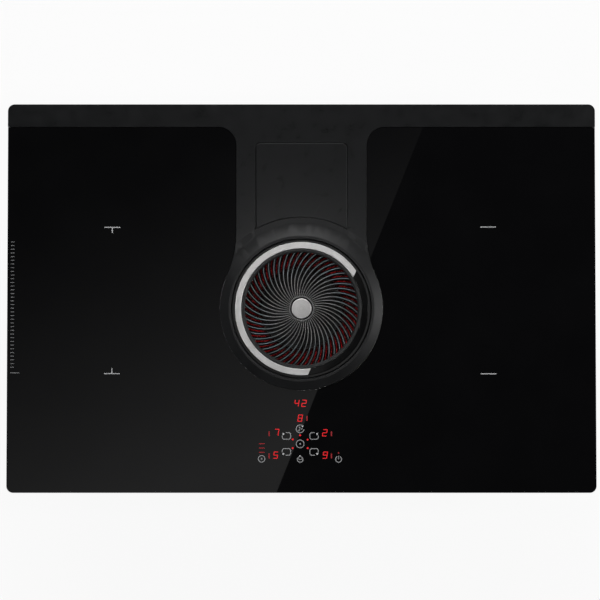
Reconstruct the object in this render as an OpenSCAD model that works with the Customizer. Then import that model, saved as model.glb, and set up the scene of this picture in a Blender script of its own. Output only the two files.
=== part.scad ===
// Downdraft induction cooktop: a ceramic glass top with a cast column and collar round a central air
// intake, four induction coils in a steel pan, a weighing plate, and a blower with a rear outlet below.
// Millimetres. The origin is the centre of the footprint on the base plane. +X is right, +Y is the
// rear and +Z is up.

/* [Outline] */
// Overall width
overall_w = 780; // [775:5:860]
// Overall depth, front to rear
overall_d = 515; // [510:5:560]
// Radius of the four outer corners
corner_r = 9; // [4:1:14]

/* [Glass and casting] */
// Thickness of the ceramic glass
glass_t = 4; // [3:0.5:6]
// Depth of the casting's rear strip
strip_d = 30; // [24:1:34]
// Height of the casting's flat above the glass
strip_rise = 1; // [0.5:0.5:2]
// Width of the casting's column
column_w = 173; // [165:1:180]
// Radius between the column and the rear strip
lobe_r = 24; // [12:1:36]
// Radius of the flare from the column to the collar
flare_r = 140; // [110:5:170]
// Radius of the bore in the collar
bore_r = 93; // [92.5:0.5:94]
// Width of the collar, from the bore to the glass
collar_w = 14.5; // [13:0.5:19]
// Width of the flat crest round the bore
crest_w = 3.5; // [2:0.5:5]
// Height of the collar's crest above the glass
collar_rise = 5; // [3:0.5:7]
// Distance from the middle of the cooktop forward to the centre of the intake
ring_offset = 14; // [8:1:20]
// Gap between the glass and the casting
joint_gap = 0.3; // [0.2:0.1:0.5]
// Width of the foam seal under the rim
seal_w = 8; // [5:1:9]
// Thickness of the foam seal under the rim
seal_t = 2; // [1:0.5:3]

/* [Weighing plate] */
// Width of the weighing plate
pad_w = 121; // [110:1:126]
// Distance from the intake's centre to the plate's rear edge
pad_rear = 220; // [205:1:225]
// Radius of the plate's curved front edge, where the collar's slope ends
pad_front_r = 121.5; // [118:0.5:126]
// Radius of the plate's rear corners
pad_corner_r = 7; // [3:1:12]
// Thickness of the plate
pad_t = 4; // [3:0.5:4.5]
// Groove round the plate
pad_gap = 1; // [0.8:0.1:1.5]
// Travel of the plate on its load cell
pad_travel = 0.3; // [0.2:0.1:0.5]

/* [Grille] */
// Number of swirl fins
fin_count = 50; // [40:1:56]
// Radius of each fin's curve
fin_bend_r = 58; // [52:1:80]
// Height of the fins
fin_h = 8; // [6:0.5:8.5]
// Thickness of a fin at the hub
fin_t_in = 1; // [0.8:0.1:1.1]
// Thickness of a fin at the outer ring
fin_t_out = 2.2; // [1.6:0.1:3]
// Outer radius of the fins
fin_r = 75; // [73:0.5:77]
// Radius of the hub
hub_r = 17; // [16:0.5:20]
// Radius of the bright hub cap
cap_r = 13.3; // [11:0.1:14.5]
// Inner radius of the bright trim
trim_in_r = 79.8; // [79.5:0.1:82]
// Outer radius of the bright trim
trim_out_r = 88.2; // [86:0.1:89]
// Angle where the bright trim starts, at its inner edge
trim_start = 29.5; // [20:0.5:40]
// Angle where the bright trim ends, at its inner edge
trim_end = 280.6; // [270:0.2:300]
// Gap between the grille and the bore
grille_gap = 1.5; // [1:0.1:2]

/* [Grease filter] */
// Depth of the filter below its rim
filter_depth = 54; // [40:1:60]
// Wall thickness of the filter frame
filter_t = 2; // [1.5:0.5:3]
// Number of windows in the filter frame
window_count = 8; // [6:1:10]
// Inner radius of the red vane ring
vane_in_r = 53; // [48:1:58]

/* [Air box] */
// Height of the plenum case
plenum_h = 52; // [48:1:60]
// Radius of the plenum's corners
plenum_corner_r = 22; // [10:1:30]
// Wall thickness of the plenum and the volute
case_t = 2.5; // [2:0.5:3]
// Distance from the intake's centre to the left end of the plenum
plenum_left = 125; // [120:1:135]
// Distance from the middle to the front face of the plenum
plenum_front = 150; // [145:1:160]
// Distance from the middle to the rear face of the plenum
plenum_rear = 145; // [140:1:155]
// Width of the drip tray
tray_w = 200; // [180:5:205]
// Length of the drip tray
tray_d = 235; // [200:5:250]
// Height of the drip tray
tray_h = 27; // [20:1:30]
// Wall thickness of the drip tray
tray_t = 1.8; // [1.5:0.1:2.5]

/* [Blower] */
// Distance of the blower's axis from the middle, to the right
fan_x = 215; // [213:1:225]
// Height of the volute housing with its cover
volute_h = 92; // [90:1:96]
// Inner radius of the scroll at its tongue
scroll_start_r = 98; // [94:1:100]
// Inner radius of the scroll where it meets the outlet
scroll_end_r = 125; // [120:1:130]
// Angle of the scroll's tongue
tongue_angle = 130; // [120:5:140]
// Inner width of the outlet
outlet_w = 216; // [205:1:220]
// Distance from the middle to the end of the volute
outlet_y = 205; // [200:1:210]
// Length of the outlet spigot
spigot_l = 40; // [30:1:44]
// Outer radius of the impeller
impeller_r = 85; // [80:1:88]
// Height of the impeller
impeller_h = 58; // [52:1:60]
// Number of impeller blades
blade_count = 38; // [30:1:42]
// Radius of the motor shaft
shaft_r = 4; // [3:0.5:5]
// Height of the rubber buffers between blower and pan
buffer_h = 9.5; // [8:0.5:14]

/* [Induction pan] */
// Width of the steel pan
pan_w = 738; // [736:2:740]
// Depth of the steel pan, front to rear
pan_d = 480; // [478:1:484]
// Height of the steel pan
pan_h = 58; // [57:1:64]
// Thickness of the steel sheet
sheet_t = 1; // [0.8:0.1:1.5]
// Distance of the cooking zones from the middle, left and right
zone_x = 248.5; // [245:0.5:252]
// Distance of the rear zones from the middle
zone_rear_y = 94; // [93:1:98]
// Distance of the front zones from the middle
zone_front_y = 100; // [99:1:104]
// Outer radius of a coil
coil_r = 90; // [80:1:92]
// Inner radius of a coil
coil_in_r = 28; // [27:1:36]
// Number of turns in a coil
coil_turns = 16; // [12:1:18]
// Thickness of a coil
coil_t = 4.5; // [4:0.5:5]
// Thickness of the ferrite bars
ferrite_t = 4.5; // [4:0.5:5]
// Number of ferrite bars under a coil
ferrite_count = 8; // [6:1:9]
// Thickness of the aluminium coil carriers
carrier_t = 1.5; // [1:0.5:2]
// Size of a square cooling fan
cooler_w = 80; // [70:1:84]
// Height of a cooling fan
cooler_h = 25; // [20:1:30]
// Number of blades on a cooling fan
cooler_blades = 7; // [5:1:9]
// Radius of the cable gland's bore
gland_bore_r = 6; // [5:0.5:6.5]

/* [Hidden] */
$fn = 96;

// Clearances
seat_gap = 0.3;
run_gap = 0.05;
fit_gap = 0.02;
eps = 1;

// Heights, from the base up
volute_z = plenum_h + case_t;
volute_top = volute_z + volute_h;
pan_z = volute_top + buffer_h;
floor_z = pan_z + sheet_t;
glass_z = pan_z + pan_h;
glass_top = glass_z + glass_t;
strip_top = glass_top + strip_rise;
crest_top = glass_top + collar_rise;

// Casting
ring_y = -ring_offset;
collar_r = bore_r + collar_w;
strip_y = overall_d / 2 - strip_d;
crest_r = bore_r + crest_w;
skirt_t = 4;
skirt_r = bore_r + skirt_t;
shoulder_w = 4;
shoulder_t = 4;
shoulder_r = bore_r - shoulder_w;
shoulder_z = glass_z - 10;
skirt_z = shoulder_z - shoulder_t;
tray_floor_t = 2;
pocket_z = strip_top - pad_t - pad_travel - 0.1;
seal_inset = 2;
seal_corner_r = 1;

// Weighing plate
post_r = 3;
post_gap = 1.5;
post_inset = 14;
post_clear = 16;
post_x = pad_w / 2 - post_inset;
post_rear_y = ring_y + pad_rear - post_inset;
post_front_y = ring_y + sqrt(pow(pad_front_r, 2) - pow(post_x, 2)) + post_clear;
spider_t = 2.5;
spider_z = pocket_z - tray_floor_t - 1 - spider_t;
cell_w = 12.7;
cell_l = 80;
cell_y = (post_rear_y + post_front_y) / 2;
cell_foot = 1.7;
cell_z = spider_z - cell_foot - pad_travel - cell_w;

// Grille
grille_r = bore_r - grille_gap;
vane_flange_t = 2;
filter_rim_t = 2.7;
filter_z = shoulder_z + seat_gap;
filter_top = filter_z + filter_rim_t;
vane_top = filter_top + vane_flange_t;
grille_z = vane_top + seat_gap;
fin_top = glass_top + 3;
fin_z = fin_top - fin_h;
trim_z = glass_top;
trim_t = 4;
inlay_t = 3;
fin_steps = 8;
trim_slant = 0.44;

// Grease filter
duct_t = 2.5;
duct_r = shoulder_r - 1.5;
duct_gap = 1.5;
filter_r = duct_r - duct_gap;
filter_rim_r = bore_r - 0.5;
mesh_r = filter_r - filter_t - seat_gap;
wire_t = 1.2;
filter_floor_z = filter_z - filter_depth;
gasket_t = 1.5;

// Air box
plenum_right = fan_x + scroll_end_r + 5;
plenum_lip = 3;
tray_gap = 1.2;
tray_panel_t = 3.7;
tray_z = case_t + seat_gap;

// Blower
inlet_r = 70;
cover_z = volute_top - case_t;
outlet_right = fan_x + scroll_end_r;
outlet_left = outlet_right - outlet_w;
boss_r = 4.5;
boss_out = 3;
scroll_steps = 23;
boss_angles = [150, 205, 260, 315, 355];
screw_r = 1.5;
screw_hole_r = 1.7;
screw_head_r = 3.2;
screw_head_t = 2.4;
screw_l = 14;
plate_rim = 12;
impeller_z = volute_z + case_t + 11.5;
impeller_top = impeller_z + impeller_h;
blade_in_r = impeller_r - 15;
blade_t = 1;
plate_t = 2.5;
hub_cup_r = 43;
hub_cup_z = impeller_z + 13;
hub_t = 2;
bell_r = hub_cup_r - hub_t + 0.2 - 0.5;
bell_t = 5.2;
bell_z = hub_cup_z + hub_t;
tube_r = 12;
bearing_r = 9;
bearing_h = 7;
tube_z = bell_z + 8;
stator_z = bell_z + 12;
stator_h = 22;
stator_r = bell_r - bell_t - 1.5;
tooth_count = 12;
tooth_w = 4;
spigot_t = 1.5;
spigot_h = 89;

// Pan
pan_corner_r = 6;
lip_z = glass_z - sheet_t;
well_r = skirt_r + 2;
well_flange_r = collar_r - 0.5;
well_screw_r = well_r + sheet_t + 3.4;
well_screws = 8;
carrier_in = collar_r + 4.5;
carrier_out = pan_w / 2 - 7;
carrier_front = pan_d / 2 - 8;
carrier_rear = pan_d / 2 - 18;
mica_t = 0.6;
coil_air = 2.4;
mica_z = glass_z - coil_air - mica_t;
coil_z = mica_z - coil_t;
former_t = 1.5;
former_z = coil_z - former_t;
former_r = coil_r + 4;
ferrite_z = former_z - ferrite_t;
carrier_z = ferrite_z - carrier_t;
former_bore_r = 6.5;
sensor_r = 5;
stud_h = 7;
stud_r = 4;
board_t = 1.6;
board_z = floor_z + stud_h;
board_top = board_z + board_t;
board_in = carrier_in + 13;
board_out = pan_w / 2 - 19;
board_front = 115;
board_rear = 135;
board_edge = 7;
cooler_x = 300;
cooler_y = 175;
cooler_r = cooler_w / 2 - 3;
cooler_screw = cooler_w / 2 - 5;
cooler_hub_r = 15;
cooler_pin_r = 2;
louvre_count = 14;
louvre_pitch = 12;
louvre_w = 4;
gland_x = 300;
gland_z = floor_z + 25;
gland_r = gland_bore_r + 2;
gland_l = 24;
mains_x = 150;
mains_w = 100;
mains_y = 160;
mains_d = 65;
lead_r = 1.5;
lead_out = 5;
lead_pitch = 12;

// Touch panel
touch_x = -1.4;
touch_w = 122;
touch_front = 226;
touch_rear = 127;
touch_t = 1.6;
touch_z = glass_z - 8;
digit_w = 10;
digit_d = 14;
digit_out = 32.3;
digit_rows = [177.7, 207.4];
fan_digit_y = 158.6;
timer_digit_y = 139;
carrier_frame_t = 2;

// Clamps
clamp_y = 150;
clamp_w = 30;
clamp_t = 1.5;
clamp_h = 38;
clamp_reach = 18;
clamp_z = pan_z + 4;
clamp_pitch = 8;
clamp_screw_z = clamp_z + clamp_h - 8;
jack_r = 2;

// Shared shapes

module rounded_rect(w, d, r) {
  square([w - 2 * r, d], center = true);
  square([w, d - 2 * r], center = true);
  for (x = [-1, 1], y = [-1, 1]) translate([x * (w / 2 - r), y * (d / 2 - r)]) circle(r);
}

module tube(outer_r, inner_r, h) {
  difference() {
    cylinder(r = outer_r, h = h);
    translate([0, 0, -eps]) cylinder(r = inner_r, h = h + 2 * eps);
  }
}

module block(x0, x1, y0, y1, z0, z1) {
  translate([x0, y0, z0]) cube([x1 - x0, y1 - y0, z1 - z0]);
}

module at_ring() {
  translate([0, ring_y, 0]) children();
}

module at_fan() {
  translate([fan_x, 0, 0]) children();
}

// A point at radius r and angle a
function polar(r, a) = [r * cos(a), r * sin(a)];

// The zone of the plan that the casting takes, grown by g
module casting_zone(g) {
  half = column_w / 2 + g;
  reach = collar_r + g;
  flare = flare_r - g;
  lobe = lobe_r - g;
  flare_y = sqrt(pow(reach + flare, 2) - pow(half + flare, 2));
  translate([-overall_w / 2 - 5, strip_y - g]) square([overall_w + 10, strip_d + g + 5]);
  translate([-half, ring_y]) square([2 * half, strip_y - ring_y]);
  translate([0, ring_y]) circle(reach);
  for (side = [0, 1]) mirror([side, 0]) {
    difference() {
      polygon([[0, ring_y], [half, ring_y + flare_y], [half + flare, ring_y + flare_y]]);
      translate([half + flare, ring_y + flare_y]) circle(flare);
    }
    difference() {
      translate([half - eps, strip_y - g - lobe]) square([lobe + eps, lobe + eps]);
      translate([half + lobe, strip_y - g - lobe]) circle(lobe);
    }
  }
}

// The weighing plate's outline, grown by g
module pad_outline(g) {
  side_x = pad_w / 2 - pad_corner_r;
  translate([0, ring_y]) difference() {
    union() {
      translate([-pad_w / 2 - g, 0]) square([pad_w + 2 * g, pad_rear - pad_corner_r]);
      translate([-side_x, 0]) square([2 * side_x, pad_rear + g]);
      for (x = [-side_x, side_x]) translate([x, pad_rear - pad_corner_r]) circle(pad_corner_r + g);
    }
    circle(pad_front_r - g);
  }
}

// Places of the four posts under the weighing plate
module at_posts() {
  for (x = [-post_x, post_x], y = [post_front_y, post_rear_y]) translate([x, y, 0]) children();
}

// Glass and casting

module glass_plate() {
  color("#0b0b0c") translate([0, 0, glass_z]) linear_extrude(glass_t) difference() {
    rounded_rect(overall_w, overall_d, corner_r);
    casting_zone(joint_gap);
  }
}

module top_casting() {
  color("#26282a") difference() {
    union() {
      translate([0, 0, glass_z]) linear_extrude(glass_t + collar_rise) intersection() {
        rounded_rect(overall_w, overall_d, corner_r);
        casting_zone(0);
      }
      at_ring() translate([0, 0, skirt_z]) cylinder(r = skirt_r, h = glass_z - skirt_z + eps);
      translate([0, 0, pocket_z - tray_floor_t]) linear_extrude(tray_floor_t + eps) pad_outline(pad_gap + 3);
    }
    at_ring() rotate_extrude() polygon([[crest_r, crest_top], [pad_front_r, strip_top],
      [overall_w, strip_top], [overall_w, crest_top + eps], [crest_r, crest_top + eps]]);
    at_ring() translate([0, 0, shoulder_z]) cylinder(r = bore_r, h = crest_top - shoulder_z + eps);
    at_ring() translate([0, 0, skirt_z - eps]) cylinder(r = shoulder_r, h = shoulder_t + 2 * eps);
    translate([0, 0, pocket_z]) linear_extrude(crest_top - pocket_z + eps) pad_outline(pad_gap);
    at_posts() translate([0, 0, pocket_z - tray_floor_t - eps])
      cylinder(r = post_r + post_gap, h = tray_floor_t + 2 * eps);
    at_well_screws() translate([0, 0, glass_z - eps]) cylinder(r = screw_hole_r, h = glass_t + eps - 0.5);
  }
}

// The outline of the cooktop, drawn in by g on every side
module rim_outline(g, r) {
  rounded_rect(overall_w - 2 * g, overall_d - 2 * g, r);
}

module worktop_seal() {
  color("#1c1c1c") translate([0, 0, glass_z - seal_t]) linear_extrude(seal_t) difference() {
    rim_outline(seal_inset, corner_r - seal_inset);
    rim_outline(seal_inset + seal_w, seal_corner_r);
  }
}

// Weighing plate

module weighing_plate() {
  color("#232527") translate([0, 0, strip_top - pad_t]) linear_extrude(pad_t) pad_outline(0);
}

module load_spider() {
  free_x = cell_l / 2;
  color("#9a9ca0") {
    at_posts() translate([0, 0, spider_z]) cylinder(r = post_r, h = strip_top - pad_t - spider_z);
    block(-post_x - 5, post_x + 5, cell_y - 7, cell_y + 7, spider_z, spider_z + spider_t);
    for (x = [-post_x, post_x])
      block(x - 5, x + 5, post_front_y - 5, post_rear_y + 5, spider_z, spider_z + spider_t);
    block(free_x - 12, free_x, cell_y - cell_w / 2, cell_y + cell_w / 2, spider_z - cell_foot,
      spider_z + eps);
  }
}

module load_cell() {
  bore = 4.2;
  color("#c4c6c9") translate([0, cell_y, cell_z + cell_w / 2]) difference() {
    cube([cell_l, cell_w, cell_w], center = true);
    for (x = [-7, 7]) translate([x, 0, 0]) rotate([90, 0, 0])
      cylinder(r = bore, h = cell_w + 2, center = true);
    cube([14, cell_w + 2, 3], center = true);
  }
}

module load_cell_bracket() {
  fixed_x = -cell_l / 2;
  foot_left = 10;
  foot_right = 30;
  foot_half = 17;
  stand_w = 13;
  color("#b0b2b4") {
    block(fixed_x - foot_left, fixed_x + foot_right, cell_y - foot_half, cell_y + foot_half, floor_z,
      floor_z + 2);
    block(fixed_x, fixed_x + stand_w, cell_y - cell_w / 2, cell_y + cell_w / 2, floor_z + 1, cell_z);
  }
}

// Grille

// Half of a fin's thickness at radius r
function fin_half(r) = (fin_t_in + (fin_t_out - fin_t_in) * (r - hub_r) / (fin_r - hub_r)) / 2;

// A point on a fin at radius r, moved sideways by w: the fin is an arc that would pass through the centre
function fin_point(r, w) = polar(r, -asin(r / (2 * fin_bend_r)) + w / r * 180 / PI);

module fin() {
  start_r = hub_r - 1;
  step_r = (fin_r + 1 - start_r) / fin_steps;
  stations = [for (i = [0:fin_steps]) start_r + i * step_r];
  left = [for (r = stations) fin_point(r, fin_half(r))];
  right = [for (i = [fin_steps:-1:0]) fin_point(stations[i], -fin_half(stations[i]))];
  linear_extrude(fin_h) polygon(concat(left, right));
}

module grille() {
  foot_in_r = fin_r + 6;
  ring_z = fin_z - 0.5;
  lip_z = fin_top + 0.7;
  color("#303436") at_ring() {
    translate([0, 0, fin_z]) for (i = [0:fin_count - 1]) rotate(i * 360 / fin_count) fin();
    translate([0, 0, fin_z - 1]) difference() {
      cylinder(r = hub_r, h = fin_h + 2);
      translate([0, 0, fin_h + 1]) cylinder(r = cap_r + 0.2, h = 1 + eps);
    }
    rotate_extrude() polygon([[fin_r, ring_z], [foot_in_r, ring_z], [foot_in_r, grille_z],
      [grille_r - 1, grille_z], [grille_r - 1, ring_z], [grille_r, ring_z], [grille_r, trim_z + 2],
      [trim_out_r + 0.2, trim_z + 2], [trim_out_r + 0.2, trim_z], [trim_in_r - 0.2, trim_z],
      [trim_in_r - 0.2, lip_z], [trim_in_r - 2.2, lip_z], [fin_r, fin_top + 0.3]]);
  }
}

module hub_cap() {
  color("#8e9092") at_ring() translate([0, 0, fin_z + fin_h]) {
    cylinder(r = cap_r, h = 1);
    translate([0, 0, 1]) cylinder(r1 = cap_r, r2 = cap_r - 1, h = 0.4);
  }
}

// The open part of the trim ring, as a plan shape that ends a degrees outside the trim's slanted ends
module trim_opening(a) {
  near_r = trim_in_r - 10;
  far_r = trim_out_r + 12;
  near_turn = trim_slant * (near_r - trim_in_r);
  far_turn = trim_slant * (far_r - trim_in_r);
  mid_angle = (trim_start + trim_end - 360) / 2;
  polygon([polar(near_r, trim_start + near_turn + a), polar(far_r, trim_start + far_turn + a),
    polar(2 * far_r, mid_angle + 50), polar(2 * far_r, mid_angle), polar(2 * far_r, mid_angle - 50),
    polar(far_r, trim_end - 360 - far_turn - a), polar(near_r, trim_end - 360 - near_turn - a)]);
}

module trim_annulus() {
  difference() {
    circle(trim_out_r);
    circle(trim_in_r);
  }
}

module silver_trim() {
  color("#9d9fa1") at_ring() translate([0, 0, trim_z]) linear_extrude(trim_t) difference() {
    trim_annulus();
    trim_opening(0);
  }
}

module trim_inlay() {
  color("#08080a") at_ring() translate([0, 0, trim_z]) linear_extrude(inlay_t) intersection() {
    trim_annulus();
    trim_opening(-0.3);
  }
}

// Grease filter

// One vane of height h between two rings: it follows the curve of the fins above it
module vane(in_r, out_r, h) {
  vane_t = 1.4;
  vane_steps = 4;
  stations = [for (i = [0:vane_steps]) in_r + (out_r - in_r) * i / vane_steps];
  left = [for (r = stations) fin_point(r, vane_t / 2)];
  right = [for (i = [vane_steps:-1:0]) fin_point(stations[i], -vane_t / 2)];
  linear_extrude(h) polygon(concat(left, right));
}

module vane_ring() {
  vane_h = 6;
  hoop_t = 2;
  ring_in_r = fin_r + 4;
  vane_z = vane_top - vane_h + 1;
  color("#8c1018") at_ring() {
    translate([0, 0, filter_top]) tube(filter_rim_r - 3, ring_in_r, vane_flange_t);
    translate([0, 0, vane_z]) tube(ring_in_r + hoop_t, ring_in_r, vane_h - 1);
    translate([0, 0, vane_z]) tube(vane_in_r + hoop_t, vane_in_r, vane_h);
    for (i = [0:fin_count - 1]) rotate((i + 0.5) * 360 / fin_count) translate([0, 0, vane_z + 0.1])
      vane(vane_in_r + hoop_t / 2, ring_in_r + hoop_t / 2, vane_h - 0.2);
  }
}

module filter_frame() {
  window_h = filter_depth - 22;
  window_w = 42;
  window_z = filter_floor_z + 8;
  color("#1d1f20") at_ring() difference() {
    union() {
      translate([0, 0, filter_z]) tube(filter_rim_r, mesh_r + seat_gap, filter_rim_t);
      translate([0, 0, filter_floor_z]) tube(filter_r, mesh_r + seat_gap, filter_depth + eps);
      translate([0, 0, filter_floor_z]) tube(filter_r - 1, mesh_r - 8, 2);
    }
    for (i = [0:window_count - 1]) rotate(i * 360 / window_count)
      block(mesh_r - 4, filter_r + 3, -window_w / 2, window_w / 2, window_z, window_z + window_h);
  }
}

module filter_mesh() {
  hoop_count = 7;
  rod_count = 36;
  ring_step = 12;
  mesh_z = filter_floor_z + 2;
  mesh_h = filter_depth - 3;
  hoop_step = (mesh_h - wire_t) / (hoop_count - 1);
  half = wire_t / 2;
  color("#a8aaad") at_ring() {
    for (i = [0:hoop_count - 1]) translate([0, 0, mesh_z + i * hoop_step])
      tube(mesh_r, mesh_r - wire_t, wire_t);
    for (i = [0:rod_count - 1]) rotate(i * 360 / rod_count)
      block(mesh_r - wire_t * 0.9, mesh_r - wire_t * 0.1, -half, half, mesh_z, mesh_z + mesh_h);
    for (r = [ring_step:ring_step:mesh_r - 10]) translate([0, 0, mesh_z]) tube(r + wire_t, r, wire_t);
    for (i = [0:rod_count / 3 - 1]) rotate(i * 1080 / rod_count)
      block(ring_step + 0.5, mesh_r - half, -half, half, mesh_z + 0.1, mesh_z + wire_t - 0.1);
  }
}

// Air box

module suction_duct() {
  top_z = skirt_z - gasket_t;
  color("#3b3d40") at_ring() difference() {
    union() {
      translate([0, 0, volute_z]) cylinder(r = duct_r + duct_t, h = top_z - volute_z);
      translate([0, 0, volute_z]) cylinder(r = skirt_r, h = 2);
      translate([0, 0, top_z - 2]) cylinder(r = skirt_r - 1, h = 2);
    }
    translate([0, 0, volute_z - eps]) cylinder(r = duct_r, h = top_z - volute_z + 2 * eps);
  }
}

module duct_gasket() {
  color("#202020") at_ring() translate([0, 0, skirt_z - gasket_t]) tube(skirt_r - 1, duct_r, gasket_t);
}

// The plenum's outline in plan, grown by g
module plenum_outline(g) {
  translate([(plenum_right - plenum_left) / 2, (plenum_rear - plenum_front) / 2])
    rounded_rect(plenum_left + plenum_right + 2 * g, plenum_front + plenum_rear + 2 * g, plenum_corner_r + g);
}

module plenum_case() {
  opening_w = tray_w + 2 * tray_gap;
  opening_top = case_t + tray_h + 3;
  rail_top = case_t + 12;
  rib_t = 2;
  color("#4a4c4f") difference() {
    union() {
      difference() {
        linear_extrude(plenum_h) plenum_outline(0);
        translate([0, 0, case_t]) linear_extrude(plenum_h) plenum_outline(-case_t);
      }
      translate([0, 0, plenum_h - 4]) linear_extrude(4) difference() {
        plenum_outline(plenum_lip);
        plenum_outline(-1);
      }
      for (side = [0, 1]) mirror([side, 0, 0])
        block(opening_w / 2, opening_w / 2 + rib_t, -plenum_front + 1, tray_d - plenum_front, 1, rail_top);
      for (x = [fan_x - 60, fan_x, fan_x + 60])
        block(x, x + rib_t, -plenum_front + 1, plenum_rear - 1, 1, rail_top);
    }
    block(-opening_w / 2, opening_w / 2, -plenum_front - eps, -plenum_front + case_t + eps,
      case_t, opening_top);
  }
}

module plenum_cover() {
  color("#55575a") difference() {
    translate([0, 0, plenum_h]) linear_extrude(case_t) plenum_outline(plenum_lip);
    at_ring() translate([0, 0, plenum_h - eps]) cylinder(r = duct_r, h = case_t + 2 * eps);
    at_fan() translate([0, 0, plenum_h - eps]) cylinder(r = inlet_r, h = case_t + 2 * eps);
  }
}

module drip_tray() {
  panel_w = tray_w + 24;
  grip_w = 80;
  front = -plenum_front;
  rear = front + tray_d - tray_t;
  top = tray_z + tray_h;
  color("#2a2c2e") {
    difference() {
      block(-tray_w / 2, tray_w / 2, front - 1, rear, tray_z, top);
      block(tray_t - tray_w / 2, tray_w / 2 - tray_t, front + tray_t, rear - tray_t, tray_z + tray_t,
        top + 1);
    }
    block(-panel_w / 2, panel_w / 2, front - tray_panel_t - seat_gap, front - seat_gap, tray_z,
      top + 5);
    block(-grip_w / 2, grip_w / 2, front - tray_panel_t - 8, front - 1, top - 4, top);
  }
}

module inlet_ring() {
  z = volute_z + case_t;
  lip_h = 10;
  color("#6a6d70") at_fan() rotate_extrude() polygon([[inlet_r - 2, z - 4.5], [inlet_r - seat_gap, z - 4.5],
    [inlet_r - seat_gap, z], [inlet_r + 8, z], [inlet_r + 8, z + 2], [inlet_r - 2, z + 2],
    [inlet_r - 7.5, z + 6], [inlet_r - 8, z + lip_h], [inlet_r - 9.5, z + lip_h], [inlet_r - 9, z + 5],
    [inlet_r - 6, z - 0.5]]);
}

// Inner radius of the scroll at angle a
function scroll_r(a) =
  scroll_start_r + (scroll_end_r - scroll_start_r) * (a - tongue_angle) / (360 - tongue_angle);

// The scroll with its outlet in plan, grown by g and ending at y_end
module scroll_outline(g, y_end) {
  turn = (360 - tongue_angle) / scroll_steps;
  spiral = [for (i = [0:scroll_steps]) polar(scroll_r(tongue_angle + i * turn) + g, tongue_angle + i * turn)];
  polygon(concat(spiral, [[outlet_right + g - fan_x, y_end], [outlet_left - g - fan_x, y_end]]));
}

// Places of the screws round the volute
module at_bosses() {
  for (a = boss_angles) at_fan() translate(polar(scroll_r(a) + case_t + boss_out, a)) children();
  for (x = [outlet_left - case_t - screw_r, outlet_right + case_t + screw_r])
    translate([x, outlet_y - boss_r]) children();
}

module volute_housing() {
  color("#2e3033") difference() {
    union() {
      translate([0, 0, volute_z]) linear_extrude(volute_h - case_t) at_fan() scroll_outline(case_t, outlet_y);
      translate([0, 0, volute_z]) at_bosses() cylinder(r = boss_r, h = volute_h - case_t);
    }
    translate([0, 0, volute_z + case_t]) linear_extrude(volute_h) at_fan() scroll_outline(0, outlet_y + eps);
    at_fan() translate([0, 0, volute_z - eps]) cylinder(r = inlet_r, h = case_t + 2 * eps);
    translate([0, 0, cover_z - screw_l]) at_bosses() cylinder(r = screw_hole_r, h = screw_l + eps);
  }
}

module volute_cover() {
  color("#34363a") translate([0, 0, cover_z]) difference() {
    union() {
      linear_extrude(case_t) at_fan() scroll_outline(case_t, outlet_y);
      at_bosses() cylinder(r = boss_r, h = case_t);
    }
    at_fan() translate([0, 0, -eps]) cylinder(r = hub_cup_r + 3, h = case_t + 2 * eps);
    translate([0, 0, -eps]) at_bosses() cylinder(r = screw_hole_r, h = case_t + 2 * eps);
  }
}

module volute_screws() {
  color("#b8babc") translate([0, 0, volute_top]) at_bosses() {
    cylinder(r = screw_head_r, h = screw_head_t);
    translate([0, 0, -screw_l]) cylinder(r = screw_r, h = screw_l + 0.5);
  }
}

module outlet_spigot() {
  mid_x = (outlet_left + outlet_right) / 2;
  mid_z = volute_z + volute_h / 2;
  flange = 3;
  inner_w = outlet_w + 3;
  outer_w = inner_w + 2 * spigot_t;
  inner_h = spigot_h - 2 * spigot_t;
  color("#24272a") translate([mid_x, outlet_y, mid_z]) rotate([-90, 0, 0]) difference() {
    union() {
      linear_extrude(flange) square([outer_w + 6, volute_h], center = true);
      linear_extrude(flange + spigot_l) square([outer_w, spigot_h], center = true);
    }
    translate([0, 0, -eps]) linear_extrude(flange + spigot_l + 2 * eps)
      square([inner_w, inner_h], center = true);
  }
}

module blower_mounts() {
  color("#1a1a1a") at_fan() for (i = [0:3]) rotate(45 + 90 * i) translate([impeller_r, 0, volute_top])
    difference() {
      cylinder(r = 8, h = buffer_h);
      translate([0, 0, buffer_h / 2]) rotate_extrude() translate([9.5, 0]) circle(2.5);
    }
}

module blade() {
  steps = 5;
  sweep = 22;
  stations = [for (i = [0:steps]) i / steps];
  depth = impeller_r - blade_in_r;
  left = [for (s = stations) polar(blade_in_r + s * depth, sweep * s * s)];
  right = [for (i = [steps:-1:0]) let (s = stations[i], r = blade_in_r + s * depth)
    polar(r, sweep * s * s + blade_t / r * 180 / PI)];
  linear_extrude(impeller_h - plate_t) polygon(concat(left, right));
}

module impeller() {
  rim_r = blade_in_r + 7.5;
  color("#c9cbcd") at_fan() {
    for (i = [0:blade_count - 1]) rotate(i * 360 / blade_count) translate([0, 0, impeller_z + 1]) blade();
    translate([0, 0, impeller_z]) tube(impeller_r + 0.5, rim_r, 2.5);
    translate([0, 0, impeller_top - plate_t]) tube(impeller_r + 0.5, hub_cup_r - 1, plate_t);
    difference() {
      translate([0, 0, hub_cup_z]) cylinder(r = hub_cup_r, h = impeller_top - hub_cup_z);
      translate([0, 0, bell_z]) cylinder(r = hub_cup_r - hub_t, h = impeller_h);
      translate([0, 0, hub_cup_z - eps]) cylinder(r = shaft_r + fit_gap, h = hub_t + 2 * eps);
    }
  }
}

module motor_rotor() {
  bell_h = impeller_top - bell_z - 3;
  color("#6f7276") at_fan() difference() {
    translate([0, 0, bell_z]) cylinder(r = bell_r, h = bell_h);
    translate([0, 0, bell_z + 2.5]) cylinder(r = bell_r - bell_t, h = bell_h);
    translate([0, 0, bell_z - eps]) cylinder(r = shaft_r + fit_gap, h = 4);
  }
}

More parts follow.
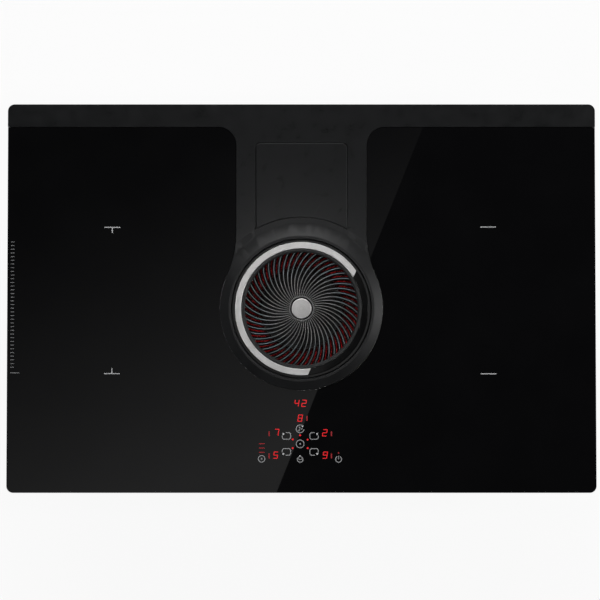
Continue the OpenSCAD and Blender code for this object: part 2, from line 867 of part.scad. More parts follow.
// The plan of one stator tooth, grown by g
module tooth(g) {
  translate([tube_r + 4, -tooth_w / 2 - g]) square([stator_r - tube_r - 5, tooth_w + 2 * g]);
}

module motor_stator() {
  color("#5c5f63") at_fan() translate([0, 0, stator_z]) difference() {
    union() {
      linear_extrude(stator_h) for (i = [0:tooth_count - 1]) rotate(i * 360 / tooth_count) tooth(0);
      cylinder(r = tube_r + 6, h = stator_h);
      difference() {
        tube(stator_r, stator_r - 2, stator_h);
        for (i = [0:tooth_count - 1]) rotate((i + 0.5) * 360 / tooth_count)
          block(stator_r - 4, stator_r + 2, -1.2, 1.2, -eps, stator_h + eps);
      }
    }
    translate([0, 0, -eps]) cylinder(r = tube_r + fit_gap, h = stator_h + 2 * eps);
  }
}

module stator_windings() {
  wire = 1.7;
  in_r = tube_r + 6.6;
  out_r = stator_r - 2.6;
  half = tooth_w / 2;
  color("#b06a38") at_fan() translate([0, 0, stator_z])
    for (i = [0:tooth_count - 1]) rotate(i * 360 / tooth_count) difference() {
      block(in_r, out_r, -half - wire, half + wire, -2, stator_h + 2);
      block(in_r - 1, out_r + 1, -half - 0.1, half + 0.1, -0.1, stator_h + 0.1);
    }
}

module motor_shaft() {
  color("#d0d2d4") at_fan() translate([0, 0, hub_cup_z - 2])
    cylinder(r = shaft_r, h = volute_top - hub_cup_z - 4);
}

module motor_bearings() {
  color("#c0c2c5") at_fan() for (z = [tube_z + 1, volute_top - bearing_h - 7])
    translate([0, 0, z]) tube(bearing_r - fit_gap, shaft_r + run_gap, bearing_h);
}

module motor_plate() {
  color("#8a8d91") at_fan() difference() {
    union() {
      translate([0, 0, volute_top]) cylinder(r = hub_cup_r + plate_rim, h = 2.5);
      translate([0, 0, tube_z]) cylinder(r = tube_r, h = volute_top - tube_z + 1);
    }
    translate([0, 0, tube_z - eps]) cylinder(r = bearing_r, h = volute_top - tube_z + 1);
  }
}

// Induction pan

// Places of the screws that hold the casting on the pan's well
module at_well_screws() {
  at_ring() for (i = [0:well_screws - 1]) rotate((i + 0.5) * 360 / well_screws)
    translate([well_screw_r, 0, 0]) children();
}

// Places of the studs under the boards
module at_studs() {
  for (side = [0, 1]) mirror([side, 0, 0]) at_board_corners() children();
  for (x = [mains_w - board_edge, board_edge], y = [board_edge, mains_d - board_edge])
    translate([-mains_x - x, mains_y + y, 0]) children();
}

// Places of the four corner holes of the right power board
module at_board_corners() {
  for (x = [board_in + board_edge, board_out - board_edge])
    for (y = [board_edge - board_front, board_rear - board_edge]) translate([x, y, 0]) children();
}

// Places of the four clamps at the pan's sides
module at_clamps() {
  for (side = [0, 1], y = [-clamp_y, clamp_y])
    mirror([side, 0, 0]) translate([pan_w / 2, y, 0]) children();
}

// Places of the two cooling fans
module at_coolers() {
  for (side = [-1, 1]) translate([side * cooler_x, -cooler_y, 0]) children();
}

// The inside of the pan in plan
module pan_inside() {
  rounded_rect(pan_w - 2 * sheet_t, pan_d - 2 * sheet_t, pan_corner_r - sheet_t);
}

// The gland drops into a square slot in the rear wall, which the rim closes
module base_pan() {
  vent_r = 3.4;
  slot_r = gland_r + 0.1;
  color("#a4a7aa") difference() {
    translate([0, 0, pan_z]) linear_extrude(lip_z - pan_z) rounded_rect(pan_w, pan_d, pan_corner_r);
    difference() {
      translate([0, 0, floor_z]) linear_extrude(pan_h) pan_inside();
      at_studs() translate([0, 0, pan_z]) cylinder(r = stud_r, h = stud_h + sheet_t);
    }
    at_ring() translate([0, 0, pan_z - eps]) cylinder(r = well_r, h = sheet_t + 2 * eps);
    at_coolers() translate([0, 0, pan_z - eps]) for (ring = [1:3], i = [0:6 * ring - 1])
      rotate(i * 60 / ring) translate([10 * ring, 0, 0]) cylinder(r = vent_r, h = sheet_t + 2 * eps, $fn = 6);
    for (side = [0, 1], i = [0:louvre_count - 1]) mirror([side, 0, 0])
      translate([pan_w / 2, (i - (louvre_count - 1) / 2) * louvre_pitch, 0])
        block(-5, 5, -louvre_w / 2, louvre_w / 2, floor_z + 12, floor_z + 36);
    at_clamps() for (y = [-clamp_pitch, clamp_pitch]) translate([-5, y, clamp_screw_z]) rotate([0, 90, 0])
      cylinder(r = screw_hole_r, h = 8);
    translate([-gland_x, pan_d / 2 - 5, gland_z])
      block(-slot_r, slot_r, 0, 10, -slot_r, lip_z - gland_z + eps);
  }
}

// The flat frame on top of the pan's walls, between the worktop's seal and the cut-out
module pan_rim() {
  color("#a4a7aa") translate([0, 0, lip_z]) linear_extrude(sheet_t) difference() {
    rim_outline(seal_inset + seal_w + 0.5, seal_corner_r);
    pan_inside();
  }
}

// The well round the casting's skirt, with a foot on the pan's floor and a flange under the collar
module pan_well() {
  foot_w = 6;
  color("#9c9fa2") difference() {
    at_ring() union() {
      translate([0, 0, floor_z]) tube(well_r + sheet_t, well_r, glass_z - floor_z);
      translate([0, 0, floor_z]) tube(well_r + foot_w, well_r, sheet_t);
      translate([0, 0, lip_z]) tube(well_flange_r, well_r, sheet_t);
    }
    at_well_screws() translate([0, 0, lip_z - eps]) cylinder(r = screw_hole_r, h = sheet_t + 2 * eps);
  }
}

module coil_carriers() {
  color("#bfc2c4") for (side = [0, 1]) mirror([side, 0, 0]) difference() {
    block(carrier_in, carrier_out, -carrier_front, carrier_rear, carrier_z, carrier_z + carrier_t);
    for (y = [-zone_front_y, zone_rear_y], i = [0:3]) translate([zone_x, y, carrier_z - eps])
      rotate(45 + 90 * i) translate([former_r + 12, 0, 0]) cylinder(r = 6, h = carrier_t + 2 * eps);
    at_leads_one_side() translate([0, 0, carrier_z - eps])
      cylinder(r = lead_r + 1, h = carrier_t + 2 * eps);
  }
}

module carrier_posts() {
  h = carrier_z - floor_z;
  xs = [carrier_in + 6, carrier_out - 8];
  ys = [9 - carrier_front, carrier_rear - 9];
  color("#8f9295") for (x = xs, y = ys, side = [0, 1])
    mirror([side, 0, 0]) translate([x, y, floor_z]) {
      cylinder(r = 5, h = 3);
      cylinder(r = 2.5, h = h);
      translate([0, 0, h - 2]) cylinder(r = 5, h = 2);
    }
}

module at_zones() {
  for (x = [-zone_x, zone_x], y = [-zone_front_y, zone_rear_y]) translate([x, y, 0]) children();
}

// Places of the leads that rise from the right power board to its coils
module at_leads_one_side() {
  for (y = [-zone_front_y, zone_rear_y], d = [-lead_pitch / 2, lead_pitch / 2])
    translate([zone_x - former_r - lead_out, y + d, 0]) children();
}

module coil(x, y) {
  pitch = (coil_r - coil_in_r) / coil_turns;
  groove = 1.2;
  top = [for (i = [0:coil_turns - 1], p = [[0, -groove], [0.25, 0], [0.75, 0]])
    [coil_r - (i + p[0]) * pitch, coil_t + p[1]]];
  color("#b5713d") translate([x, y, coil_z]) rotate_extrude()
    polygon(concat([[coil_in_r, coil_t - groove], [coil_in_r, 0], [coil_r, 0]], top));
}

module coil_rear_left() {
  coil(-zone_x, zone_rear_y);
}

module coil_front_left() {
  coil(-zone_x, -zone_front_y);
}

module coil_rear_right() {
  coil(zone_x, zone_rear_y);
}

module coil_front_right() {
  coil(zone_x, -zone_front_y);
}

module coil_formers() {
  rim_t = 2;
  color("#d9d2c4") at_zones() translate([0, 0, former_z]) difference() {
    union() {
      cylinder(r = former_r, h = former_t);
      tube(former_r, former_r - rim_t, former_t + 3);
      tube(coil_in_r - 2, coil_in_r - 2 - rim_t, former_t + coil_t);
    }
    translate([0, 0, -eps]) cylinder(r = former_bore_r, h = former_t + 2 * eps);
  }
}

module ferrite_bars() {
  color("#2b2b2e") at_zones() translate([0, 0, ferrite_z]) for (i = [0:ferrite_count - 1])
    rotate(i * 360 / ferrite_count) block(coil_in_r - 6, coil_r - 4, -6, 6, 0, ferrite_t);
}

module mica_sheets() {
  color("#d8c9a0") at_zones() translate([0, 0, mica_z]) tube(coil_r + 2, former_bore_r, mica_t);
}

module coil_sensors() {
  h = glass_z - carrier_z - carrier_t - seat_gap;
  color("#e8e8e4") at_zones() translate([0, 0, carrier_z + carrier_t]) {
    cylinder(r = sensor_r - 2, h = h);
    translate([0, 0, h - 4]) cylinder(r = sensor_r, h = 4);
    cylinder(r = sensor_r, h = 3);
  }
}

module power_boards() {
  color("#1f5a3a") for (side = [0, 1]) mirror([side, 0, 0]) difference() {
    block(board_in, board_out, -board_front, board_rear, board_z, board_top);
    at_board_corners() translate([0, 0, board_z - eps]) cylinder(r = screw_hole_r, h = board_t + 2 * eps);
  }
}

// A finned block of width w and length l, standing on its base
module heatsink(w, l, h) {
  fin_n = 8;
  fin_w = 2;
  base = 5;
  pitch = (w - fin_w) / (fin_n - 1);
  rotate([90, 0, 0]) linear_extrude(l, center = true) {
    translate([-w / 2, 0]) square([w, base]);
    for (i = [0:fin_n - 1]) translate([-w / 2 + i * pitch, 0]) square([fin_w, h]);
  }
}

module heatsinks() {
  sink_x = zone_x + 20;
  sink_w = 60;
  sink_l = 190;
  sink_h = 28;
  color("#b9bcbf") for (x = [-sink_x, sink_x]) translate([x, 0, board_top]) heatsink(sink_w, sink_l, sink_h);
}

module board_parts() {
  can_r = 10;
  can_h = 26;
  can_pitch = 30;
  can_x = zone_x - 60;
  film_w = 26;
  film_d = 32;
  film_h = 22;
  film_x = board_out - film_w - 16;
  film_pitch = 115;
  bridge_w = 28;
  bridge_d = 40;
  bridge_h = 18;
  bridge_x = board_in + 12;
  bridge_y = -50;
  choke_r = 15;
  choke_h = 14;
  plug_w = 70;
  plug_d = 18;
  plug_h = 16;
  plug_y = board_rear - 31;
  mains_choke_r = 18;
  mains_part_h = 20;
  mains_cap_w = 12;
  mains_cap_d = 30;
  color("#3a4c86") {
    for (side = [0, 1]) mirror([side, 0, 0]) translate([0, 0, board_top]) {
      for (i = [-2:1]) translate([can_x, i * can_pitch, 0]) cylinder(r = can_r, h = can_h);
      for (i = [0, 1]) translate([film_x, i * film_pitch - film_pitch / 2 - film_d / 2, 0])
        cube([film_w, film_d, film_h]);
      translate([bridge_x, bridge_y, 0]) cube([bridge_w, bridge_d, bridge_h]);
      translate([bridge_x + bridge_w / 2, bridge_y + 80, 0]) tube(choke_r, choke_r - 8, choke_h);
      translate([zone_x - 30, plug_y, 0]) cube([plug_w, plug_d, plug_h]);
    }
    translate([-mains_x - 30, mains_y + mains_d / 2, board_top])
      tube(mains_choke_r, mains_choke_r - 10, mains_part_h);
    for (i = [0, 1]) translate([-mains_x - mains_w + 14 + 20 * i, mains_y + 18, board_top])
      cube([mains_cap_w, mains_cap_d, mains_part_h]);
  }
}

module wiring() {
  ribbon_w = 14;
  ribbon_t = 1;
  ribbon_y = -touch_rear - 30;
  ribbon_x = touch_x + touch_w / 2 - 12;
  ribbon_z = floor_z + 2;
  ribbon_end = board_in + 25;
  board_y = -board_front + 10;
  rise = coil_z + coil_t / 2 - board_top;
  color("#c8c4b8") {
    for (side = [0, 1]) mirror([side, 0, 0]) at_leads_one_side() translate([0, 0, board_top]) {
      cylinder(r = lead_r, h = rise);
      translate([0, 0, rise]) sphere(lead_r);
      translate([0, 0, rise]) rotate([0, 90, 0]) cylinder(r = lead_r, h = lead_out - seat_gap);
    }
    block(ribbon_x, ribbon_x + ribbon_t, ribbon_y, ribbon_y + ribbon_w, ribbon_z, touch_z - carrier_frame_t);
    block(ribbon_x, ribbon_end + ribbon_w, ribbon_y, ribbon_y + ribbon_w, ribbon_z, ribbon_z + ribbon_t);
    block(ribbon_end, ribbon_end + ribbon_w, ribbon_y, board_y, ribbon_z, ribbon_z + ribbon_t);
    block(ribbon_end, ribbon_end + ribbon_w, board_y - ribbon_t, board_y, ribbon_z, board_z);
  }
}

module cooling_fan_frames() {
  arm_w = 5;
  color("#202224") at_coolers() translate([0, 0, floor_z]) {
    difference() {
      linear_extrude(cooler_h) rounded_rect(cooler_w, cooler_w, 5);
      translate([0, 0, -eps]) cylinder(r = cooler_r, h = cooler_h + 2 * eps);
      for (x = [-1, 1], y = [-1, 1])
        translate([x * cooler_screw, y * cooler_screw, -eps]) cylinder(r = 2, h = cooler_h + 2 * eps);
    }
    for (i = [0:2]) rotate(i * 120) block(0, cooler_r + 1, -arm_w / 2, arm_w / 2, 0, 2.5);
    cylinder(r = cooler_hub_r, h = 2.5);
    cylinder(r = cooler_pin_r, h = cooler_h - 5);
  }
}

module cooling_rotor(side) {
  hub_h = cooler_h - 7;
  color("#2a2c2f") translate([side * cooler_x, -cooler_y, floor_z + 3.5]) difference() {
    union() {
      cylinder(r = cooler_hub_r, h = hub_h);
      intersection() {
        for (i = [0:cooler_blades - 1]) rotate(i * 360 / cooler_blades)
          translate([cooler_hub_r - 2, 0, hub_h / 2]) rotate([38, 0, 0])
            block(0, cooler_r, -11, 11, -0.7, 0.7);
        translate([0, 0, 1]) cylinder(r = cooler_r - 1.5, h = hub_h - 2);
      }
    }
    translate([0, 0, -eps]) cylinder(r = cooler_pin_r + run_gap, h = hub_h);
  }
}

module cooling_rotor_left() {
  cooling_rotor(-1);
}

module cooling_rotor_right() {
  cooling_rotor(1);
}

module filter_board() {
  color("#1f5a3a") block(-mains_x - mains_w, -mains_x, mains_y, mains_y + mains_d, board_z, board_top);
}

module terminal_block() {
  poles = 5;
  pitch = 11;
  w = poles * pitch + 5;
  block_d = 26;
  block_h = 20;
  wall_gap = 36;
  color("#e6e2d6") translate([-gland_x, pan_d / 2 - wall_gap - block_d, floor_z]) difference() {
    block(-w / 2, w / 2, 0, block_d, 0, block_h);
    for (i = [0:poles - 1], y = [7, 19])
      translate([(i - (poles - 1) / 2) * pitch, y, 8]) cylinder(r = 3, h = 13);
  }
}

module cable_gland() {
  nut_r = gland_r + 6;
  color("#2c2e31") translate([-gland_x, pan_d / 2 + 14 - gland_l, gland_z]) rotate([-90, 0, 0]) difference() {
    union() {
      cylinder(r = gland_r, h = gland_l);
      translate([0, 0, gland_l - 14]) cylinder(r = nut_r, h = 6, $fn = 6);
      translate([0, 0, gland_l - 14 - sheet_t - 5]) cylinder(r = nut_r, h = 5, $fn = 6);
    }
    translate([0, 0, -eps]) cylinder(r = gland_bore_r, h = gland_l + 2 * eps);
  }
}

module touch_board() {
  color("#1f4d3a") translate([touch_x, 0, 0])
    block(-touch_w / 2, touch_w / 2, -touch_front, -touch_rear, touch_z, touch_z + touch_t);
}

// One display module, w wide, behind the point x, y of the panel
module display_module(x, y, w) {
  translate([touch_x + x, -y, 0])
    block(-w / 2, w / 2, -digit_d / 2, digit_d / 2, touch_z + touch_t, glass_z - seat_gap);
}

module display_modules() {
  color("#3a3c3e") {
    display_module(0, timer_digit_y, 2 * digit_w);
    display_module(0, fan_digit_y, digit_w);
    for (x = [-digit_out, digit_out], y = digit_rows) display_module(x, y, digit_w);
  }
}

module touch_carrier() {
  leg_r = 4;
  rim = 3;
  frame_z = touch_z - carrier_frame_t;
  half = touch_w / 2;
  color("#44474a") translate([touch_x, 0, 0]) {
    block(-half - rim, half + rim, -touch_front - rim, -touch_rear + rim, frame_z, touch_z);
    for (x = [6 - half, half - 6], y = [6 - touch_front, -touch_rear - 6])
      translate([x, y, floor_z]) cylinder(r = leg_r, h = frame_z - floor_z + 1);
  }
}

// Clamps and screws

module clamp_brackets() {
  color("#b4b7ba") at_clamps() difference() {
    union() {
      block(0, clamp_t, -clamp_w / 2, clamp_w / 2, clamp_z, clamp_z + clamp_h);
      block(0, clamp_reach, -clamp_w / 2, clamp_w / 2, clamp_z, clamp_z + 3);
    }
    for (y = [-clamp_pitch, clamp_pitch]) translate([-1, y, clamp_screw_z]) rotate([0, 90, 0])
      cylinder(r = screw_hole_r, h = clamp_t + 2);
    translate([clamp_reach - 6, 0, clamp_z - eps]) cylinder(r = jack_r + fit_gap, h = 3 + 2 * eps);
  }
}

module pan_screws() {
  color("#c6c8ca") {
    at_clamps() {
      for (y = [-clamp_pitch, clamp_pitch]) translate([clamp_t, y, clamp_screw_z]) rotate([0, 90, 0]) {
        cylinder(r = screw_head_r, h = screw_head_t - 0.4);
        translate([0, 0, -5]) cylinder(r = screw_r, h = 5.5);
      }
      translate([clamp_reach - 6, 0, clamp_z]) {
        translate([0, 0, -screw_head_t]) cylinder(r = screw_head_r, h = screw_head_t);
        translate([0, 0, -1]) cylinder(r = jack_r, h = clamp_h - 3);
        translate([0, 0, clamp_h - 5]) cylinder(r = 5, h = 2);
      }
    }
    at_well_screws() translate([0, 0, glass_z - sheet_t]) {
      translate([0, 0, -screw_head_t]) cylinder(r = screw_head_r - 0.4, h = screw_head_t);
      translate([0, 0, -0.5]) cylinder(r = screw_r, h = glass_t);
    }
  }
}

glass_plate();
top_casting();
worktop_seal();
weighing_plate();
load_spider();
load_cell();
load_cell_bracket();
grille();
hub_cap();
silver_trim();
trim_inlay();
vane_ring();
filter_frame();
filter_mesh();
suction_duct();
duct_gasket();
plenum_case();
plenum_cover();
drip_tray();
inlet_ring();
volute_housing();
volute_cover();
volute_screws();
outlet_spigot();
blower_mounts();
impeller();
motor_rotor();
motor_stator();
stator_windings();
motor_shaft();
motor_bearings();
motor_plate();
base_pan();
pan_rim();
pan_well();
coil_carriers();
carrier_posts();
coil_rear_left();
coil_front_left();
coil_rear_right();
coil_front_right();
coil_formers();
ferrite_bars();
mica_sheets();
coil_sensors();
power_boards();
heatsinks();
board_parts();
wiring();
cooling_fan_frames();
cooling_rotor_left();
cooling_rotor_right();
filter_board();
terminal_block();
cable_gland();
touch_board();
display_modules();
touch_carrier();
clamp_brackets();
pan_screws();
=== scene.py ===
# %% [markdown]
# # Downdraft induction cooktop
# The model came out of CAD with every piece in its right place and size. This lesson dresses it: each piece
# gets the finish that it has on the real object, the parts that are seen from close by get finer meshes, and
# a small studio lights it. Everything is in metres, in the frame of the CAD model: +X is right, +Y is the
# rear and +Z is up.

# %% Load the model and keep its box
import math

import bmesh
import bpy
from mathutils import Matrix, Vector


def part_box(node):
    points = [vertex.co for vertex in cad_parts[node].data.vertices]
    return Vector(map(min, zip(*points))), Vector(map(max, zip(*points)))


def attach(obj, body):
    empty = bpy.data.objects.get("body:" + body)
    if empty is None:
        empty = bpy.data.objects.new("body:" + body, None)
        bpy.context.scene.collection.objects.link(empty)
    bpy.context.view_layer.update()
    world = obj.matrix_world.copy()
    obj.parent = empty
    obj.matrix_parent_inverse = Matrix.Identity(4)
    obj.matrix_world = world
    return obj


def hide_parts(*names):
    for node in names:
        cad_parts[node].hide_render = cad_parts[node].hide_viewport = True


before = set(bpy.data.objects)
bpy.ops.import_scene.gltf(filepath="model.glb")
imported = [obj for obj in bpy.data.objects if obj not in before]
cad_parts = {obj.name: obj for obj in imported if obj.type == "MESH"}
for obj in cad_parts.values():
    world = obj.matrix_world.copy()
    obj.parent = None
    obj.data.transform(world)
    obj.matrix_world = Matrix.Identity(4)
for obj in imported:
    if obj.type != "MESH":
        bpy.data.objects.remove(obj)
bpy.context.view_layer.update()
scene = bpy.context.scene
MM = 0.001
ring_x, ring_y = 0.0, sum(v.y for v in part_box("grille")) / 2

# %% [markdown]
# ## The camera
# The photograph was taken from almost straight above. The front edge is a little wider in it than the rear
# edge, so the camera stood slightly in front of the middle and looked back by one and a half degrees. The
# frame is 600 pixels wide and one pixel covers 1.3254 mm of the glass, which gives the lens once a distance
# is chosen. Two metres keeps the perspective as weak as it is in the photograph.

# %% Place the camera
glass_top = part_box("glass_plate")[1].z
PIXELS = 600
PIXEL = 1.3254 * MM
DISTANCE = 2.0
SENSOR = 36
TILT = math.radians(1.48)
target = Vector((-1.9 * MM, -2.6 * MM, glass_top))
back = Vector((0, -math.sin(TILT), math.cos(TILT)))
camera_data = bpy.data.cameras.new("studio_camera")
camera_data.sensor_width = SENSOR
camera_data.lens = SENSOR * DISTANCE / (PIXELS * PIXEL)
camera_data.clip_start, camera_data.clip_end = 0.01, 30
camera = bpy.data.objects.new("studio_camera", camera_data)
scene.collection.objects.link(camera)
camera.location = target + back * DISTANCE
camera.rotation_euler = back.to_track_quat("Z", "Y").to_euler()
scene.camera = camera
print("lens in mm:", round(camera_data.lens, 1))

# %% [markdown]
# ## Colours and nodes
# A colour on a screen is written in sRGB, as in a paint program, but the renderer counts light, so each hex
# value is turned to linear first. One small function adds a shader node, sets it up and links it, so that a
# material reads as a list of what feeds what.

# %% Colour and node helpers
def linear(hex_value):
    parts = [int(hex_value[i:i + 2], 16) / 255 for i in (1, 3, 5)]
    return [c / 12.92 if c <= 0.04045 else ((c + 0.055) / 1.055) ** 2.4 for c in parts] + [1.0]


def add(tree, kind, feeds=None, **settings):
    node = tree.nodes.new("ShaderNode" + kind)
    for name, value in settings.items():
        setattr(node, name, value)
    for name, value in (feeds or {}).items():
        if isinstance(value, bpy.types.Node):
            value = value.outputs[0]
        if isinstance(value, bpy.types.NodeSocket):
            tree.links.new(value, node.inputs[name])
        else:
            node.inputs[name].default_value = value
    return node


print("black glass, linear:", [round(c, 4) for c in linear("#0b0b0c")[:3]])

# %% [markdown]
# ## How a finish is built
# Most surfaces of a machine are one material with three small irregularities: the colour drifts a little, the
# gloss drifts a little, and a fine grain catches the light. This function makes such a finish from real
# sizes. The grain is the size of one bump in millimetres, and the drift is the size of a patch. A stretch
# makes the grain long, as rolling or brushing does. A finish that needs more starts from the same shader.

# %% Make a finish with drift and grain
NOISE_SUM = {"From Min": 0.7, "From Max": 1.3}  # the sum of two noises seldom leaves this range


def finish(name, light, dark, rough, grain, depth, drift=25, stretch=(1, 1, 1), **sockets):
    material = bpy.data.materials.new(name)
    material.use_nodes = True
    tree = material.node_tree
    shader = tree.nodes["Principled BSDF"]
    for socket, value in sockets.items():
        shader.inputs[socket.replace("_", " ")].default_value = value
    place = add(tree, "TexCoord").outputs["Object"]
    long_place = add(tree, "Mapping", {"Vector": place, "Scale": stretch})
    patches = add(tree, "TexNoise", {"Vector": place, "Scale": 1 / (drift * MM), "Detail": 2.0})
    bumps = add(tree, "TexNoise", {"Vector": long_place, "Scale": 1 / (grain * MM), "Detail": 3.0})
    blend = add(tree, "Math", {0: patches, 1: bumps}, operation="ADD")
    share = add(tree, "MapRange", {"Value": blend, **NOISE_SUM})
    colour = add(tree, "MixRGB", {"Fac": share, "Color1": linear(dark), "Color2": linear(light)})
    tree.links.new(colour.outputs[0], shader.inputs["Base Color"])
    gloss = add(tree, "MapRange", {"Value": blend, **NOISE_SUM, "To Min": rough[0], "To Max": rough[1]})
    tree.links.new(gloss.outputs[0], shader.inputs["Roughness"])
    bump = add(tree, "Bump", {"Height": bumps, "Strength": 1.0, "Distance": depth * MM})
    tree.links.new(bump.outputs[0], shader.inputs["Normal"])
    return material


print("finishes so far:", len(bpy.data.materials))

# %% [markdown]
# ## Colours that follow the radius
# The intake is round, and some of its colours change with the distance from its axis: a painted sheen
# makes the inner fin crests lighter, and painted shade darkens the inner ends of the red vanes. One helper
# measures that distance in the shader, and the next mixes another colour into a finish on the inner side of
# a radius. The last one puts a finish on CAD pieces by their names.

# %% Measure from the axis, fade a colour and put a finish on
def from_axis(tree):
    place = add(tree, "TexCoord").outputs["Object"]
    flat = add(tree, "VectorMath", {0: place, 1: (1, 1, 0)}, operation="MULTIPLY")
    return add(tree, "VectorMath", {0: flat, 1: (ring_x, ring_y, 0)}, operation="DISTANCE").outputs["Value"]


def fade_in(material, inner, start, end):
    tree = material.node_tree
    socket = tree.nodes["Principled BSDF"].inputs["Base Color"]
    own = socket.links[0].from_socket
    share = add(tree, "MapRange", {"Value": from_axis(tree), "From Min": start * MM, "From Max": end * MM},
                interpolation_type="SMOOTHSTEP")
    colour = add(tree, "MixRGB", {"Fac": share, "Color1": linear(inner), "Color2": own})
    tree.links.new(colour.outputs[0], socket)


def wear(material, *nodes):
    for name in nodes:
        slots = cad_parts[name].data.materials
        slots.clear()
        slots.append(material)


print("axis of the intake at mm:", round(ring_x / MM, 1), round(ring_y / MM, 1))

# %% [markdown]
# ## Soft edges
# No real edge is a knife edge. A bevel of a few tenths of a millimetre catches a line of light, and that
# line is most of what shows the form of a black object. The CAD meshes come in as triangles, so each piece
# is first welded, its flat faces are merged, and only then are its sharp edges bevelled. Modifiers do this
# without touching the CAD mesh, and weighted normals keep the flat faces flat.

# %% Ease the edges of a piece
SHARP = math.radians(30)


def ease(piece, width, segments=2):
    mesh = piece.data
    if "custom_normal" in mesh.attributes:
        mesh.attributes.remove(mesh.attributes["custom_normal"])
    mesh.polygons.foreach_set("use_smooth", [True] * len(mesh.polygons))
    weld = piece.modifiers.new("weld", "WELD")
    weld.merge_threshold = 0.005 * MM
    merge = piece.modifiers.new("merge_flats", "DECIMATE")
    merge.decimate_type = "DISSOLVE"
    merge.angle_limit = math.radians(0.4)
    bevel = piece.modifiers.new("soft_edge", "BEVEL")
    bevel.width = width * MM
    bevel.segments = segments
    bevel.limit_method = "ANGLE"
    bevel.angle_limit = SHARP
    normals = piece.modifiers.new("flat_normals", "WEIGHTED_NORMAL")
    normals.keep_sharp = True


print("edges of CAD pieces are eased by modifiers, and their meshes stay as they are")

# %% [markdown]
# ## Black glass ceramic
# The glass is rolled as a sheet, then heat-treated until fine crystals form in it. It is dyed through, so it
# looks deep black from above, and its rolled face is fire polished: almost a mirror, with a very slight wave.
# An index of 1.52 reflects about four parts in a hundred, so what the black glass shows is mostly the room.

# %% Dress the glass
glass = finish("glass_ceramic_fire_polished", "#060607", "#040405", (0.006, 0.012), 60, 0.002, drift=120,
               IOR=1.52)
wear(glass, "glass_plate")
ease(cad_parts["glass_plate"], 0.3, segments=3)
print("glass:", glass.name)

# %% [markdown]
# ## Powder-coated casting
# The column, the rear strip and the collar are one aluminium casting, blasted and then powder coated. The
# powder melts to a fine orange-peel grain of about 0.4 mm, which scatters the light to a soft sheen. The
# weighing plate is coated in the same way. The collar of the real casting falls in a soft S, and the CAD
# model has a plain cone there, so the difference of the two heights goes into the shading as a second bump.
# Powder melts out a little less evenly on a slope, so the collar is more matt than the flat parts.

# %% Dress the casting and the weighing plate
powder = finish("powder_coat_fine_black", "#0b0c0e", "#070809", (0.27, 0.33), 0.45, 0.012, drift=18,
                Specular_IOR_Level=0.4)
LIP_R, SLOPE_R, FOOT_R = 96.5 * MM, 114 * MM, 121.5 * MM
FALL, CONE = 4.5 * MM, 4.0 * MM
collar_powder = powder.copy()
collar_powder.name = "powder_coat_on_collar"
tree = collar_powder.node_tree
shader = tree.nodes["Principled BSDF"]
radius = from_axis(tree)
share = add(tree, "MapRange", {"Value": radius, "From Min": LIP_R, "From Max": SLOPE_R,
                               "To Min": 1.0, "To Max": 0.0})
curve = add(tree, "Math", {0: share, 1: 1.5}, operation="POWER")
fall = add(tree, "Math", {0: curve, 1: FALL}, operation="MULTIPLY")
cone = add(tree, "MapRange", {"Value": radius, "From Min": LIP_R, "From Max": FOOT_R,
                              "To Min": CONE, "To Max": 0.0})
rise = add(tree, "Math", {0: fall, 1: cone}, operation="SUBTRACT")
grain = shader.inputs["Normal"].links[0].from_socket
contour = add(tree, "Bump", {"Height": rise, "Strength": 1.0, "Distance": 1.0, "Normal": grain})
tree.links.new(contour.outputs[0], shader.inputs["Normal"])
gloss = shader.inputs["Roughness"].links[0].from_socket
even = add(tree, "MapRange", {"Value": radius, "From Min": SLOPE_R, "From Max": FOOT_R + 0.5 * MM,
                              "To Min": 1.3, "To Max": 1.0})
matt = add(tree, "Math", {0: gloss, 1: even}, operation="MULTIPLY")
tree.links.new(matt.outputs[0], shader.inputs["Roughness"])
wear(collar_powder, "top_casting")
wear(powder, "weighing_plate")
ease(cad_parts["top_casting"], 0.4, segments=3)
ease(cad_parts["weighing_plate"], 1.0, segments=4)
print("casting:", powder.name)

# %% [markdown]
# ## Lathed and lofted meshes
# The grille is seen from close by, so it is built again with finer edges. Round parts are turned from a
# profile, whose corners are first rounded with small arcs. A corner is cut back by the same length on both
# sides and bridged by a curve, which is how a casting's edge looks once it is blasted.

# %% Round the corners of a profile and turn it on a lathe
def rounded(profile, cut, steps=3):
    points = []
    for i, corner in enumerate(profile):
        corner = Vector(corner)
        sides = [Vector(profile[i - 1]) - corner, Vector(profile[(i + 1) % len(profile)]) - corner]
        starts = [corner + s.normalized() * min(cut, s.length * 0.45) for s in sides]
        for k in range(steps + 1):
            t = k / steps
            points.append(starts[0] * (1 - t) ** 2 + corner * 2 * t * (1 - t) + starts[1] * t ** 2)
    return points


def turn(bm, profile, segments=240):
    rings = []
    for r, z in profile:
        rings.append([bm.verts.new((ring_x + r * MM * math.cos(a), ring_y + r * MM * math.sin(a), z * MM))
                      for a in (2 * math.pi * k / segments for k in range(segments))])
    for i in range(len(rings)):
        inner, outer = rings[i - 1], rings[i]
        for k in range(segments):
            j = (k + 1) % segments
            bm.faces.new((inner[k], inner[j], outer[j], outer[k]))


def keep(name, bm, material, body, slot, *nodes):
    bmesh.ops.recalc_face_normals(bm, faces=bm.faces)
    mesh = bpy.data.meshes.new(name)
    bm.to_mesh(mesh)
    bm.free()
    mesh.polygons.foreach_set("use_smooth", [True] * len(mesh.polygons))
    piece = bpy.data.objects.new(name, mesh)
    scene.collection.objects.link(piece)
    mesh.materials.append(material)
    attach(piece, body)
    if nodes:
        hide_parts(*nodes)
    print(name, "faces:", len(mesh.polygons))
    return piece
